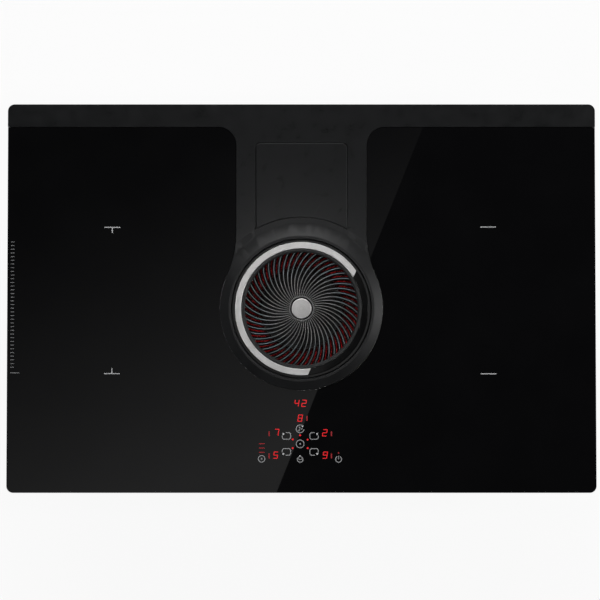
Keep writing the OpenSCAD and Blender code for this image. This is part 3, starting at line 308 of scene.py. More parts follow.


# %% [markdown]
# ## The grille
# The grille is a die casting with a satin graphite coat. Its fins are arcs that would all pass through the
# centre, so they swirl. Each fin is a thin wall with a rounded crest, and only the crest catches the light,
# while the gap beside it stays black. The crests are painted lighter towards the hub, a painted sheen where
# the lamp above shines. The ring round the fins is coated black. The land outside the trim and a lining in
# the groove round the hub cap are matt black as painted shade, standing in for the deep dark gaps there, so
# that the bright parts stand alone. The heights come from the CAD piece that these meshes stand for.

# %% Turn the grille's ring and hub, and loft the fins
grille_low, grille_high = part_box("grille")
trim_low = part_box("silver_trim")[0].z / MM
FOOT = grille_low.z / MM
CREST = trim_low + 3
RING_LOW = CREST - 8.5
FIN_R, HUB_R, BEND_R, FINS = 75.0, 17.0, 58.0, 50
TRIM_IN, TRIM_OUT = 79.8, 88.2
GRILLE_R = (grille_high.x - grille_low.x) / 2 / MM

MIDDLE = 84.0
ring_mesh = bmesh.new()
ring_profile = [(FIN_R, RING_LOW), (FIN_R + 6, RING_LOW), (FIN_R + 6, FOOT), (MIDDLE, FOOT),
                (MIDDLE, trim_low), (TRIM_IN - 0.2, trim_low), (TRIM_IN - 0.2, CREST + 0.7),
                (TRIM_IN - 2.2, CREST + 0.7), (FIN_R, CREST + 0.3)]
turn(ring_mesh, rounded(ring_profile, 0.35))
land_mesh = bmesh.new()
land_profile = [(MIDDLE, FOOT), (GRILLE_R - 1, FOOT), (GRILLE_R - 1, RING_LOW), (GRILLE_R, RING_LOW),
                (GRILLE_R, trim_low + 2), (TRIM_OUT + 0.2, trim_low + 2), (TRIM_OUT + 0.2, trim_low),
                (MIDDLE, trim_low)]
turn(land_mesh, rounded(land_profile, 0.35))
# A black lining in the groove round the hub cap: painted shade for the dark gap there.
turn(land_mesh, [(13.0, CREST - 3.2), (15.05, CREST - 3.2), (15.05, CREST + 0.8), (14.9, CREST + 0.8),
                 (14.8, CREST - 2.9), (13.0, CREST - 2.9)], 96)
grille_mesh = bmesh.new()
hub_profile = [(0.01, RING_LOW - 0.5), (HUB_R, RING_LOW - 0.5), (HUB_R, CREST + 1), (15.1, CREST + 1),
               (15.0, CREST - 3), (12.5, CREST - 3), (12.4, CREST), (0.01, CREST)]
turn(grille_mesh, rounded(hub_profile, 0.35), 96)
print("grille in mm: foot", round(FOOT, 1), "crest", round(CREST, 1), "outer radius", round(GRILLE_R, 1))

# %% [markdown]
# ## Swirling fins
# A fin is lofted: a small section is set up at each of 23 stations along its arc, and neighbouring sections
# are joined by faces. The section grows thicker outwards, and its crest sinks a little towards the ring, so
# the light runs out there as it does on the real casting.

# %% Loft the fins and keep the grille
def along(r):
    return -math.asin(r / (2 * BEND_R))


def loft_fin(bm, turn_angle, stations, section):
    rows = []
    for r in stations:
        a = along(r) + turn_angle
        centre = Vector((ring_x + r * MM * math.cos(a), ring_y + r * MM * math.sin(a), 0))
        side = Vector((-math.sin(a), math.cos(a), 0))
        rows.append([bm.verts.new(centre + side * w * MM + Vector((0, 0, z * MM))) for w, z in section(r)])
    for low, high in zip(rows, rows[1:]):
        for k in range(len(low)):
            bm.faces.new((low[k - 1], low[k], high[k], high[k - 1]))
    bm.faces.new(rows[0])
    bm.faces.new(rows[-1])


def fin_section(r):
    half = (0.85 + 0.65 * (r - HUB_R) / (FIN_R - HUB_R)) / 2
    top = CREST - 0.02 - 1.6 * max(0, (r - 42) / (FIN_R - 42)) ** 2
    return [(half, RING_LOW + 0.5), (half, top - 1.6), (half * 0.8, top - 0.7), (half * 0.42, top - 0.16),
            (0, top), (-half * 0.42, top - 0.16), (-half * 0.8, top - 0.7), (-half, top - 1.6),
            (-half, RING_LOW + 0.5)]


STEPS, INTO = 22, 0.8  # stations along a fin, and how far it runs into the hub and the ring
fin_stations = [HUB_R - INTO + k * (FIN_R - HUB_R + 2 * INTO) / STEPS for k in range(STEPS + 1)]
for fin in range(FINS):
    loft_fin(grille_mesh, 2 * math.pi * fin / FINS, fin_stations, fin_section)
graphite = finish("graphite_satin_with_painted_sheen", "#8a989b", "#76848a", (0.3, 0.38), 0.5, 0.01, drift=12,
                  Metallic=0.7)
# Painted sheen: the crests are mixed lighter inside 38 to 60 mm, where the lamp above shines on them, and the
# hub ring inside 17 mm is mixed to a darker grey.
fade_in(graphite, "#a0a0a0", 38, 60)
fade_in(graphite, "#666666", 16.6, 17.4)
keep("grille_fins", grille_mesh, graphite, "grille_unit", "grille_graphite", "grille")
black_satin = finish("graphite_black_on_die_casting", "#141617", "#0d0e0f", (0.3, 0.38), 0.5, 0.01, drift=12)
keep("grille_ring", ring_mesh, black_satin, "grille_unit", "grille_graphite")
# Painted shade: the land and the groove lining are matt black, where the real grille shows a deep dark gap.
painted_shade_black = finish("black_matt_painted_shade", "#0b0b0c", "#070708", (0.6, 0.7), 0.5, 0.01, drift=12)
keep("grille_land", land_mesh, painted_shade_black, "grille_unit", "grille_graphite")

# %% [markdown]
# ## Bright trim and hub cap
# The C-shaped trim and the cap in the middle are turned aluminium, brushed on the lathe and then satin
# anodised. The brush leaves rings round the axis, about a fifth of a millimetre apart, drawn here as coarse
# as the picture can show. The rings come from the distance to the axis, so they stay true all round. Both
# edges of the trim are cut once more with a finer tool, so they are glossier and show as two bright lines.

# %% Make turned metal
NOISE_PRODUCT = {"From Min": 0.12, "From Max": 0.38}  # the product of two noises seldom leaves this range


def turned_metal(name, light, dark, rough, middle, half_width):
    material = bpy.data.materials.new(name)
    material.use_nodes = True
    tree = material.node_tree
    shader = tree.nodes["Principled BSDF"]
    shader.inputs["Metallic"].default_value = 1.0
    place = add(tree, "TexCoord").outputs["Object"]
    radius = from_axis(tree)
    rings = add(tree, "TexNoise", {"W": radius, "Scale": 1 / (0.9 * MM), "Detail": 3.0},
                noise_dimensions="1D")
    patches = add(tree, "TexNoise", {"Vector": place, "Scale": 1 / (14 * MM), "Detail": 2.0})
    share = add(tree, "Math", {0: rings, 1: patches}, operation="MULTIPLY")
    spread = add(tree, "MapRange", {"Value": share, **NOISE_PRODUCT})
    colour = add(tree, "MixRGB", {"Fac": spread, "Color1": linear(dark), "Color2": linear(light)})
    tree.links.new(colour.outputs[0], shader.inputs["Base Color"])
    gloss = add(tree, "MapRange", {"Value": share, **NOISE_PRODUCT, "To Min": rough[0], "To Max": rough[1]})
    off = add(tree, "Math", {0: radius, 1: middle * MM}, operation="SUBTRACT")
    off = add(tree, "Math", {0: off}, operation="ABSOLUTE")
    cut = add(tree, "MapRange", {"Value": off, "From Min": (half_width - 2.0) * MM,
                                 "From Max": (half_width - 1.6) * MM, "To Min": 1.0, "To Max": 0.8})
    gloss = add(tree, "Math", {0: gloss, 1: cut}, operation="MULTIPLY")
    tree.links.new(gloss.outputs[0], shader.inputs["Roughness"])
    bump = add(tree, "Bump", {"Height": rings, "Strength": 1.0, "Distance": 0.02 * MM})
    tree.links.new(bump.outputs[0], shader.inputs["Normal"])
    return material


print("noise of turned rings:", NOISE_PRODUCT)

# %% Dress the bright parts
satin = turned_metal("aluminium_turned_satin_anodised", "#e6e5e4", "#d2d1d0", (0.46, 0.56),
                     MIDDLE, (TRIM_OUT - TRIM_IN) / 2)
wear(satin, "silver_trim")
wear(turned_metal("aluminium_turned_cap", "#d0cfce", "#b4b3b2", (0.46, 0.56), 0, 13.3), "hub_cap")
ease(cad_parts["silver_trim"], 0.5, segments=3)
ease(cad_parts["hub_cap"], 0.25)
inlay = finish("abs_gloss_black_moulded", "#030304", "#020202", (0.06, 0.1), 3, 0.004, drift=30)
wear(inlay, "trim_inlay")
ease(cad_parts["trim_inlay"], 0.3)
print("bright parts:", satin.name)

# %% [markdown]
# ## The red vanes
# Under the grille sits a ring of red vanes, moulded in dyed polycarbonate. They swirl with the fins and lean
# over, so that a red band shows in the outer part of each gap. Each vane is lofted like a fin, with a leaning
# section in place of an upright one. Its red is painted darker towards the middle, almost to black: painted
# shade for the deep inner part of the gaps, where the vanes are thin and stand over the dark filter.

# %% Loft the vane ring
vane_low, vane_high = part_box("vane_ring")
VANE_TOP = vane_high.z / MM
VANE_LOW = vane_low.z / MM
RIM_OUT = (vane_high.x - vane_low.x) / 2 / MM
FLANGE = VANE_TOP - 1
VANE_IN, VANE_OUT = 53.5, FIN_R + 4.5
vane_mesh = bmesh.new()
turn(vane_mesh, rounded([(FIN_R + 4, VANE_LOW), (FIN_R + 6, VANE_LOW), (FIN_R + 6, FLANGE - 2),
                         (RIM_OUT, FLANGE - 2), (RIM_OUT, FLANGE), (FIN_R + 4, FLANGE)], 0.3))
turn(vane_mesh, rounded([(VANE_IN - 0.3, VANE_LOW), (VANE_IN + 0.6, VANE_LOW),
                         (VANE_IN + 0.6, VANE_LOW + 1), (VANE_IN - 0.3, VANE_LOW + 1)], 0.3))


def vane_section(r):
    share = (r - VANE_IN) / (VANE_OUT - VANE_IN)
    reach = 0.8 + 0.4 * share
    top = VANE_TOP - 2.6 + 2.5 * min(1, share * 3)
    return [(reach, VANE_LOW + 0.4), (reach + 0.5, VANE_LOW + 0.9), (-reach + 0.5, top), (-reach, top - 0.4)]


pitch = 2 * math.pi / FINS
vane_stations = [VANE_IN + 0.1 + k * (VANE_OUT - VANE_IN) / 9 for k in range(10)]
for vane in range(FINS):
    loft_fin(vane_mesh, pitch * (vane + 0.5), vane_stations, vane_section)
red = finish("polycarbonate_red_with_painted_shade", "#ff2228", "#5c0407", (0.22, 0.32), 2.5, 0.06, drift=3)
# Painted shade: the red is mixed almost to black inside 54 mm.
fade_in(red, "#180102", 54, 64)
keep("vane_ring_moulding", vane_mesh, red, "grease_filter", "red_vanes", "vane_ring")

# %% [markdown]
# ## Printed marks and the touch panel
# The zone marks and the scale are screen printed on the glass: flat ink, a few hundredths of a millimetre
# thick. The digits are lit from below the glass, so their colour is light, not paint. All of them are drawn
# as flat ribbons with round ends, each of them one strip, because two flat faces at the same height would
# shade each other. Each mark is placed by its pixel in the photograph and lies on the glass.

# %% Draw flat ribbons at places in the photograph
INK = glass_top + 0.03 * MM
MIDDLE_X, MIDDLE_Y = 301.5, 298  # the middle of the glass in pixels of the photograph
ACROSS, DOWN = 1.3265 * MM, 1.3205 * MM  # what one pixel covers


def on_glass(px, py):
    return Vector(((px - MIDDLE_X) * ACROSS, (MIDDLE_Y - py) * DOWN, INK))


def disc(bm, centre, radius, sides=16):
    rim = [bm.verts.new(centre + Vector((math.cos(a), math.sin(a), 0)) * radius)
           for a in (2 * math.pi * k / sides for k in range(sides))]
    bm.faces.new(rim)


def ribbon(bm, points, width, round_ends=True):
    ways = [(b - a).normalized() for a, b in zip(points, points[1:])]
    rows = []
    for i, p in enumerate(points):
        before, after = ways[max(i - 1, 0)], ways[min(i, len(ways) - 1)]
        way = (before + after).normalized()
        side = Vector((-way.y, way.x, 0)) * width / 2 / way.dot(after)
        rows.append((bm.verts.new(p - side), bm.verts.new(p + side)))
    for low, high in zip(rows, rows[1:]):
        bm.faces.new((low[0], high[0], high[1], low[1]))
    if round_ends:
        for p, way, (right, left) in ((points[0], -ways[0], rows[0][::-1]), (points[-1], ways[-1], rows[-1])):
            start = math.atan2(way.y, way.x)
            bow = [bm.verts.new(p + Vector((math.cos(start + a), math.sin(start + a), 0)) * width / 2)
                   for a in (math.pi * (k / 8 - 0.5) for k in range(1, 8))]
            bm.faces.new([right, *bow, left])


def arc(px, py, radius, start, end, steps=24):
    turns = [math.radians(start + (end - start) * k / steps) for k in range(steps + 1)]
    return [on_glass(px + radius * math.cos(t), py - radius * math.sin(t)) for t in turns]


# %% Print the zone marks and the scale
LEFT_MARK_X, BAR_HALF = 112.3, 7.9
LEFT_MARKS = ((226.9, 232.6), (373.8, 368.2))  # height of the bar, and where its stem ends
RIGHT_BAR = (480.5, 496.0)
RIGHT_MARKS = (226.6, 374.0)
LINE = 1.25 * MM
HALF_LINE = 0.48  # in pixels, so that the stem starts at the edge of its bar
zones = bmesh.new()
for bar_y, stem_y in LEFT_MARKS:
    bar = [on_glass(LEFT_MARK_X - BAR_HALF, bar_y), on_glass(LEFT_MARK_X + BAR_HALF, bar_y)]
    ribbon(zones, bar, LINE, False)
    edge_y = bar_y + math.copysign(HALF_LINE, stem_y - bar_y)
    ribbon(zones, [on_glass(LEFT_MARK_X, edge_y), on_glass(LEFT_MARK_X, stem_y)], LINE, False)
for bar_y in RIGHT_MARKS:
    ribbon(zones, [on_glass(x, bar_y) for x in RIGHT_BAR], LINE, False)

TICKS, TICK_TOP, TICK_STEP = 35, 241.6, 3.70
TICK_LEFT, TICK_RIGHT = 10.9, 14.4
LONG_TICK_Y, LONG_TICK_RIGHT = 373.0, 20.1
ticks = bmesh.new()
for k in range(TICKS):
    y = TICK_TOP + TICK_STEP * k
    ribbon(ticks, [on_glass(TICK_LEFT, y), on_glass(TICK_RIGHT, y)], 0.95 * MM, False)
ribbon(ticks, [on_glass(TICK_LEFT, LONG_TICK_Y), on_glass(LONG_TICK_RIGHT, LONG_TICK_Y)], 1.1 * MM, False)
zone_ink = finish("ceramic_ink_light_grey", "#b9babb", "#a9aaab", (0.5, 0.6), 0.6, 0.01)
tick_ink = finish("ceramic_ink_mid_grey", "#7c7d7e", "#6c6d6e", (0.5, 0.6), 0.6, 0.01)
keep("zone_marks", zones, zone_ink, "hob", None)
keep("scale_marks", ticks, tick_ink, "hob", None)

# %% [markdown]
# ## Digits and symbols
# A seven-segment digit has three bars across and four upright ones. The segments that a digit needs are
# listed by letter, from a at the top, clockwise to f, with g in the middle. The whole digit leans by nine
# degrees, as such displays do.

# %% Light the digits
SEGMENTS = {"a": ((0, 2), (1, 2)), "b": ((1, 2), (1, 1)), "c": ((1, 1), (1, 0)), "d": ((0, 0), (1, 0)),
            "e": ((0, 1), (0, 0)), "f": ((0, 2), (0, 1)), "g": ((0, 1), (1, 1))}
DIGITS = {"2": "abged", "4": "fgbc", "5": "afgcd", "7": "abc", "8": "abcdefg", "9": "abcdfg"}
DIGIT_PLACES = (("4", 296.8, 403.5), ("2", 304.1, 403.5), ("8", 300.2, 418.3), ("7", 276.7, 432.6),
                ("2", 324.8, 433.0), ("5", 275.8, 455.3), ("9", 325.1, 455.3))
LIGHT_DOTS = ((300.2, 435.5), (292.8, 439.7), (307.7, 439.8), (292.8, 448.3), (307.7, 448.3))
DIGIT_H, DIGIT_W, STROKE = 7.3, 4.9, 1.0 * MM
LEAN = math.tan(math.radians(9))
digits = bmesh.new()


def write_digit(symbol, px, py):
    half_h, half_w = (DIGIT_H - 1) / 2, (DIGIT_W - 1) / 2
    for segment in DIGITS[symbol]:
        ends = []
        for across, up in SEGMENTS[segment]:
            y = (up - 1) * half_h
            ends.append(on_glass(px + (2 * across - 1) * half_w + y * LEAN, py - y))
        middle = (ends[0] + ends[1]) / 2
        ribbon(digits, [middle + (e - middle) * 0.86 for e in ends], STROKE)


for symbol, px, py in DIGIT_PLACES:
    write_digit(symbol, px, py)
for place in LIGHT_DOTS:
    disc(digits, on_glass(*place), 1.25 * MM)
print("digits:", len(DIGIT_PLACES), "lit dots:", len(LIGHT_DOTS))

# %% [markdown]
# ## Bars and symbols
# Beside the digits glow dim upright bars, and three lying ones stand over a key at the left. The symbols are
# plain drawings: rings round the main key and the side keys, a fan, a drop, a power sign, and a rounded
# square for each zone, open at the corner where its dot sits.

# %% Light the bars
UPRIGHT_BARS = ((307.0, 418.6), (269.3, 433.9), (331.4, 433.9), (269.3, 456.1), (331.4, 456.1))
LYING_BARS = (443.9, 448.2, 452.5)
LYING_LEFT, LYING_RIGHT = 259.2, 264.8
bars = bmesh.new()
for px, py in UPRIGHT_BARS:
    ribbon(bars, [on_glass(px, py - 2.4), on_glass(px, py + 2.4)], 1.6 * MM, False)
for py in LYING_BARS:
    ribbon(bars, [on_glass(LYING_LEFT, py), on_glass(LYING_RIGHT, py)], 1.1 * MM, False)
disc(bars, on_glass(338.5, 453.1), 1.0 * MM)
print("bars:", len(UPRIGHT_BARS) + len(LYING_BARS))

# %% Draw the rings, the fan, the drop and the power sign
MAIN_KEY, LEFT_KEY, FAN = (300.2, 444.1), (261.8, 459.0), (300.2, 429.0)
DROP_X, DROP_Y = 300.2, 459.6
POWER_X, POWER_Y = 338.5, 459.4
THICK, THIN = 1.1 * MM, 0.8 * MM
symbols, dots = bmesh.new(), bmesh.new()
for place, radius in ((MAIN_KEY, 3.9), (LEFT_KEY, 3.3)):
    ribbon(symbols, arc(*place, radius, 0, 360), THICK, False)
    disc(symbols, on_glass(*place), THICK)
ribbon(symbols, arc(*FAN, 3.9, 75, 345), THICK)
for angle in (115, 235, 355):
    t = math.radians(angle)
    blade = [on_glass(FAN[0] + r * math.cos(t), FAN[1] - r * math.sin(t)) for r in (1.0, 2.1)]
    ribbon(symbols, blade, 1.3 * MM)
disc(dots, on_glass(FAN[0] + 2.4, FAN[1] - 2.5), THICK)
ribbon(symbols, arc(DROP_X, DROP_Y, 2.8, 65, -245), THICK)
ribbon(symbols, arc(DROP_X, DROP_Y - 2.0, 2.2, 215, 325, 8), THIN)
disc(dots, on_glass(DROP_X, DROP_Y - 3.4), THICK)
ribbon(symbols, arc(POWER_X, POWER_Y, 3.0, 60, -240), THICK)
ribbon(symbols, [on_glass(POWER_X, POWER_Y - 3.4), on_glass(POWER_X, POWER_Y - 0.2)], THIN)
print("symbol faces:", len(symbols.faces))

# %% Draw the zone keys
ZONE_KEYS = ((286.5, 436.1, -1, 1), (314.1, 436.1, 1, 1), (286.5, 452.1, -1, -1), (314.1, 452.1, 1, -1))
KEY_HALF_W, KEY_HALF_H = 4.2, 3.3
OPEN_SQUARE = [(1, 0.0), (1, -0.55), (0.7, -1), (-0.7, -1), (-1, -0.55), (-1, 0.55), (-0.7, 1), (0.1, 1)]
for px, py, out_x, out_y in ZONE_KEYS:
    outline = [on_glass(px + out_x * x * KEY_HALF_W, py - out_y * y * KEY_HALF_H) for x, y in OPEN_SQUARE]
    ribbon(symbols, outline, THICK)
    disc(dots, on_glass(px + out_x * 3.1, py - out_y * 1.9), 1.25 * MM)
print("zone keys:", len(ZONE_KEYS))

# %% [markdown]
# ## Light and ink
# The digits and bars are light that comes through the glass, so their finish also sends out light of its own
# colour. The bars are dimmer. The symbols are ink, a little greyer than the dots in their corners.

# %% Keep the marks of the panel
def lit(name, hex_value, strength):
    material = finish(name, hex_value, hex_value, (0.35, 0.45), 0.8, 0.005)
    shader = material.node_tree.nodes["Principled BSDF"]
    shader.inputs["Emission Color"].default_value = linear(hex_value)
    shader.inputs["Emission Strength"].default_value = strength
    return material


keep("display_digits", digits, lit("display_light_red", "#c8181f", 0.64), "hob", None)
keep("display_bars", bars, lit("display_light_dim_red", "#841a20", 0.42), "hob", None)
keep("touch_symbols", symbols, finish("ceramic_ink_symbol_grey", "#9c9d9e", "#8e8f90", (0.5, 0.6), 0.6, 0.01),
     "hob", None)
keep("touch_dots", dots, finish("ceramic_ink_dot_white", "#d2d3d4", "#c4c5c6", (0.5, 0.6), 0.6, 0.01),
     "hob", None)

# %% [markdown]
# ## The working parts below
# What lies under the glass is seen from the sides and from below, or when a piece is drawn out. Each line of
# this table is one finish and how it is made: the two colours it drifts between, the range of its roughness,
# the size and height of its grain in millimetres, and what else sets it apart.

# %% Finishes of the working parts
MOULDED = {"grain": 0.8, "depth": 0.03}
below = [
    # Glass-filled polypropylene, moulded in a spark-eroded tool, which leaves a matt leathery skin
    (finish("polypropylene_grey_moulded", "#5a5c5f", "#4b4d50", (0.45, 0.6), **MOULDED),
     0.5, ["plenum_case", "plenum_cover", "suction_duct"]),
    (finish("polypropylene_light_grey_moulded", "#7a7d80", "#6a6d70", (0.4, 0.55), **MOULDED),
     0.3, ["inlet_ring"]),
    (finish("polypropylene_black_moulded", "#34363a", "#292b2e", (0.42, 0.56), **MOULDED),
     0.5, ["volute_housing", "volute_cover", "outlet_spigot"]),
    (finish("abs_black_moulded", "#2f3134", "#232527", (0.35, 0.48), **MOULDED),
     0.4, ["drip_tray"]),
    (finish("polyamide_black_moulded", "#26282a", "#1a1c1d", (0.4, 0.55), **MOULDED),
     0.25, ["filter_frame", "cooling_fan_frames", "cooling_rotor_left", "cooling_rotor_right",
            "touch_carrier", "cable_gland"]),
    # Natural polypropylene keeps the milky tone of the resin
    (finish("polypropylene_natural_moulded", "#d2d3d1", "#bcbebc", (0.35, 0.5), grain=0.8, depth=0.02),
     0.2, ["impeller"]),
    (finish("thermoset_cream_moulded", "#ddd6c6", "#cdc5b4", (0.45, 0.6), grain=0.7, depth=0.03),
     0.3, ["coil_formers", "terminal_block"]),
    # Closed-cell foam: a soft skin broken by open pores of about a millimetre
    (finish("epdm_foam_black", "#232323", "#121212", (0.85, 0.98), grain=1.1, depth=0.25, drift=6),
     0.3, ["worktop_seal", "duct_gasket", "blower_mounts"]),
    # Hot-dip galvanised sheet: zinc spangle in grains of about 9 mm, dull and bright beside each other
    (finish("galvanised_sheet_spangled", "#b4b7ba", "#8b8f93", (0.28, 0.5), grain=9, depth=0.01, drift=14,
            Metallic=0.9),
     0.3, ["base_pan", "pan_rim", "pan_well", "clamp_brackets", "load_cell_bracket", "carrier_posts"]),
    (finish("zinc_plated_steel", "#c6c9cb", "#a8abae", (0.25, 0.4), grain=1.5, depth=0.01, Metallic=1.0),
     0.2, ["volute_screws", "pan_screws"]),
    (finish("electrical_steel_ground", "#7b7e82", "#63666a", (0.3, 0.45), grain=0.6, depth=0.02,
            stretch=(1, 1, 6), Metallic=0.9),
     0.2, ["motor_rotor", "motor_stator", "motor_bearings"]),
    (finish("steel_ground_bright", "#c9cbcd", "#b2b4b7", (0.2, 0.3), grain=0.4, depth=0.01, Metallic=1.0),
     0.2, ["motor_shaft"]),
    # Extruded or die-cast aluminium, left bare, with fine draw lines
    (finish("aluminium_bare_drawn", "#c3c6c9", "#a5a8ab", (0.32, 0.48), grain=1.2, depth=0.02,
            stretch=(5, 1, 5), Metallic=0.95),
     0.25, ["heatsinks", "motor_plate", "load_cell", "load_spider", "coil_carriers"]),
    # Painted shade: the filter mesh is made near black, so that the deep gaps under the grille stay dark.
    (finish("aluminium_mesh_dark_painted_shade", "#1e1f21", "#131415", (0.4, 0.55), grain=0.9, depth=0.03,
            Metallic=0.3),
     0, ["filter_mesh"]),
    # Enamelled copper wire: a clear amber skin over bright copper
    (finish("copper_enamelled_wire", "#c07840", "#8f4f26", (0.25, 0.4), grain=1.0, depth=0.06, drift=5,
            Metallic=0.9, Coat_Weight=0.4, Coat_Roughness=0.2),
     0, ["coil_rear_left", "coil_front_left", "coil_rear_right", "coil_front_right", "stator_windings"]),
    (finish("ferrite_sintered", "#333437", "#242528", (0.5, 0.7), grain=0.5, depth=0.03),
     0.3, ["ferrite_bars"]),
    (finish("mica_pressed_sheet", "#d9caa2", "#b7a579", (0.35, 0.6), grain=4, depth=0.02, drift=10),
     0.1, ["mica_sheets"]),
    (finish("alumina_sensor_fired", "#e9e8e3", "#d8d6cf", (0.5, 0.65), grain=0.5, depth=0.02),
     0.2, ["coil_sensors"]),
    # Woven glass in epoxy under green solder resist
    (finish("circuit_board_solder_resist", "#1f6a42", "#154a30", (0.3, 0.42), grain=1.3, depth=0.02, drift=8),
     0.15, ["power_boards", "filter_board", "touch_board"]),
    (finish("component_epoxy_sleeved", "#3c4a7c", "#2c3866", (0.35, 0.5), grain=1.5, depth=0.02),
     0.4, ["board_parts", "display_modules"]),
    (finish("pvc_wire_insulation", "#cac6ba", "#b5b0a3", (0.4, 0.5), grain=1.0, depth=0.02), 0.2, ["wiring"]),
]
for material, width, names in below:
    wear(material, *names)
    for name in names:
        if width:
            ease(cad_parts[name], width)
print("finishes below the glass:", len(below))

# %% [markdown]
# ## The studio
# The background is a white sweep. The floor keeps some shadow and adds light of its own to what the camera
# and the reflections see, so it stays white at any exposure. The room above is dark, because the glass is a
# mirror that looks straight up, and it grows paler towards the horizon, as white walls would make it. Where
# the camera looks past the floor's far edge, it sees plain white.

# %% Lay the floor
floor_mesh = bmesh.new()
bmesh.ops.create_grid(floor_mesh, x_segments=8, y_segments=8, size=6)
floor_data = bpy.data.meshes.new("studio_floor")
floor_mesh.to_mesh(floor_data)
floor_mesh.free()
floor = bpy.data.objects.new("studio_floor", floor_data)
scene.collection.objects.link(floor)
floor.location.z = -0.0005
paper = bpy.data.materials.new("white_paper_sweep")
paper.use_nodes = True
tree = paper.node_tree
paper_shader = tree.nodes["Principled BSDF"]
paper_shader.inputs["Base Color"].default_value = linear("#f4f4f4")
paper_shader.inputs["Roughness"].default_value = 0.9
paper_shader.inputs["Specular IOR Level"].default_value = 0.1
rays = add(tree, "LightPath")
seen = add(tree, "Math", {0: rays.outputs["Is Camera Ray"], 1: rays.outputs["Is Glossy Ray"]},
           operation="MAXIMUM")
seen = add(tree, "Math", {0: seen, 1: rays.outputs["Is Transmission Ray"]}, operation="MAXIMUM")
glow = add(tree, "Emission", {"Color": linear("#ffffff"), "Strength": 1.0})
own = add(tree, "Math", {0: seen, 1: 0.91}, operation="MULTIPLY")
sweep = add(tree, "MixShader", {0: own, 1: paper_shader, 2: glow})
tree.links.new(sweep.outputs[0], tree.nodes["Material Output"].inputs["Surface"])
floor_data.materials.append(paper)
print("floor at z:", floor.location.z)

# %% Paint the room
world = bpy.data.worlds.new("studio_room")
scene.world = world
world.use_nodes = True
tree = world.node_tree
way = add(tree, "TexCoord").outputs["Generated"]
height = add(tree, "SeparateXYZ", {0: way}).outputs["Z"]
fade = add(tree, "MapRange", {"Value": height, "From Min": 0.05, "From Max": 0.75,
                              "To Min": 1.0, "To Max": 0.0}, interpolation_type="SMOOTHSTEP")
CEILING, WALLS = (0.034, 0.034, 0.035, 1), (0.22, 0.22, 0.225, 1)
room = add(tree, "MixRGB", {"Fac": fade, "Color1": CEILING, "Color2": WALLS})
rays = add(tree, "LightPath")
sky = add(tree, "MixRGB", {"Fac": rays.outputs["Is Camera Ray"], "Color1": room, "Color2": (1, 1, 1, 1)})
tree.links.new(sky.outputs[0], tree.nodes["Background"].inputs["Color"])
tree.nodes["Background"].inputs["Strength"].default_value = 1.0
print("room:", world.name)

# %% [markdown]
# ## Lamps
# A small lamp hangs almost above the column, so the powder coat has its sheen there and falls away towards
# the ends of the strip. Its mirror image lies on the grille, never on the glass. A wide strip lamp behind and
# a smaller one at the right light the slopes of the collar that face them. Three weak fills stand low at the
# left, the right and the front, and light the sides, which the camera above doesn't see.

# %% Hang the lamps
def lamp(name, place, aim, width, height, power, colour="#ffffff"):
    data = bpy.data.lights.new(name, "AREA")
    data.shape = "RECTANGLE"
    data.size, data.size_y, data.energy = width, height, power
    data.color = linear(colour)[:3]
    piece = bpy.data.objects.new(name, data)
    scene.collection.objects.link(piece)
    piece.location = place
    piece.rotation_euler = (Vector(place) - Vector(aim)).to_track_quat("Z", "Y").to_euler()
    piece.visible_camera = False
    return piece


lamp("lamp_above_intake", (-0.02, 0.02, 1.45), (0, ring_y, glass_top), 0.06, 0.06, 0.66)
lamp("lamp_behind", (-0.1, 1.35, 1.6), (0, 0, glass_top), 2.2, 0.3, 23)
lamp("lamp_right", (1.4, -0.02, 1.75), (0, 0, glass_top), 0.3, 0.5, 10)
lamp("lamp_fill_left", (-2.3, -0.7, 1.3), (0, 0, 0.1), 1.0, 0.8, 7)
lamp("lamp_fill_right", (2.3, 0.5, 1.3), (0, 0, 0.1), 1.0, 0.8, 6)
lamp("lamp_fill_front", (-0.4, -2.4, 1.2), (0, 0, 0.1), 1.4, 0.7, 9)

# %% [markdown]
# ## The reflection in the glass
# The left side of the glass shows the pale end of a diffuser that hangs far above, brighter to the front and
# cut off by its slanted edge. A mirror point is found by following a line from the camera down to the glass
# and up again, so each corner of the diffuser is worked out from where its image falls in the photograph.

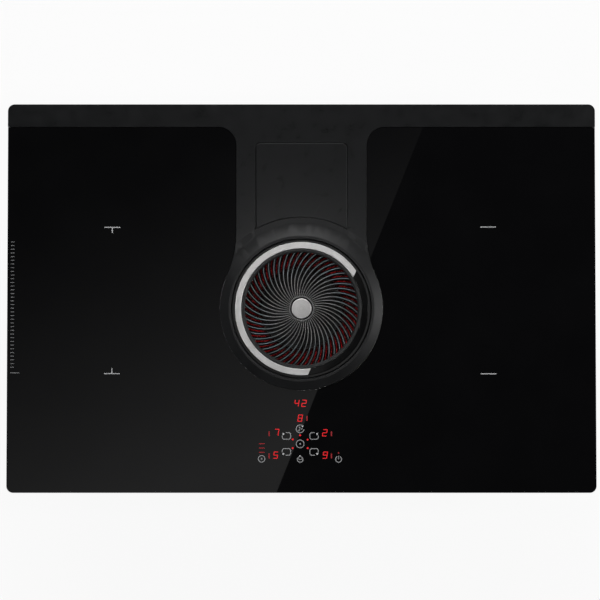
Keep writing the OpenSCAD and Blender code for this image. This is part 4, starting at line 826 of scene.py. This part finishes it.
# %% Find where the diffuser hangs
CARD_Z = 3.4
FRONT_PY, REAR_PY, LEFT_PX = 520, 90, -10
EDGE_FRONT_PX, EDGE_REAR_PX = 265.6, 437.5
DARK_PY, BRIGHT_PY = 190, 568


def above(px, py):
    p = on_glass(px, py)
    grow = (camera.location.z - glass_top + CARD_Z - glass_top) / (camera.location.z - glass_top)
    return Vector((camera.location.x + (p.x - camera.location.x) * grow,
                   camera.location.y + (p.y - camera.location.y) * grow, CARD_Z))


corners = [above(LEFT_PX, FRONT_PY), above(LEFT_PX, REAR_PY), above(EDGE_REAR_PX, REAR_PY),
           above(EDGE_FRONT_PX, FRONT_PY)]
print("diffuser corners:", [tuple(round(v, 2) for v in c) for c in corners])

# %% Hang the diffuser
card_mesh = bmesh.new()
card_mesh.faces.new([card_mesh.verts.new(c) for c in corners])
card_data = bpy.data.meshes.new("studio_diffuser")
card_mesh.to_mesh(card_data)
card_mesh.free()
card = bpy.data.objects.new("studio_diffuser", card_data)
scene.collection.objects.link(card)
cloth = bpy.data.materials.new("diffuser_cloth_lit")
cloth.use_nodes = True
tree = cloth.node_tree
tree.nodes.remove(tree.nodes["Principled BSDF"])
place = add(tree, "TexCoord").outputs["Object"]
slant = Vector((0.404, -0.915, 0))
depth = add(tree, "VectorMath", {0: place, 1: slant}, operation="DOT_PRODUCT").outputs["Value"]
ramp = add(tree, "MapRange", {"Value": depth, "From Min": slant.dot(above(0, DARK_PY)),
                              "From Max": slant.dot(above(0, BRIGHT_PY)), "To Min": 0, "To Max": 1})
curve = add(tree, "Math", {0: ramp, 1: 1.75}, operation="POWER")
strength = add(tree, "MapRange", {"Value": curve, "To Min": 0.032, "To Max": 0.35})
light = add(tree, "Emission", {"Color": linear("#ffffff"), "Strength": strength})
tree.links.new(light.outputs[0], tree.nodes["Material Output"].inputs["Surface"])
card_data.materials.append(cloth)
card.visible_camera = False
print("diffuser:", card.name)

# %% [markdown]
# ## Finish
# The Standard view shows each colour as it is written.

# %% Set the view
scene.view_settings.view_transform = "Standard"
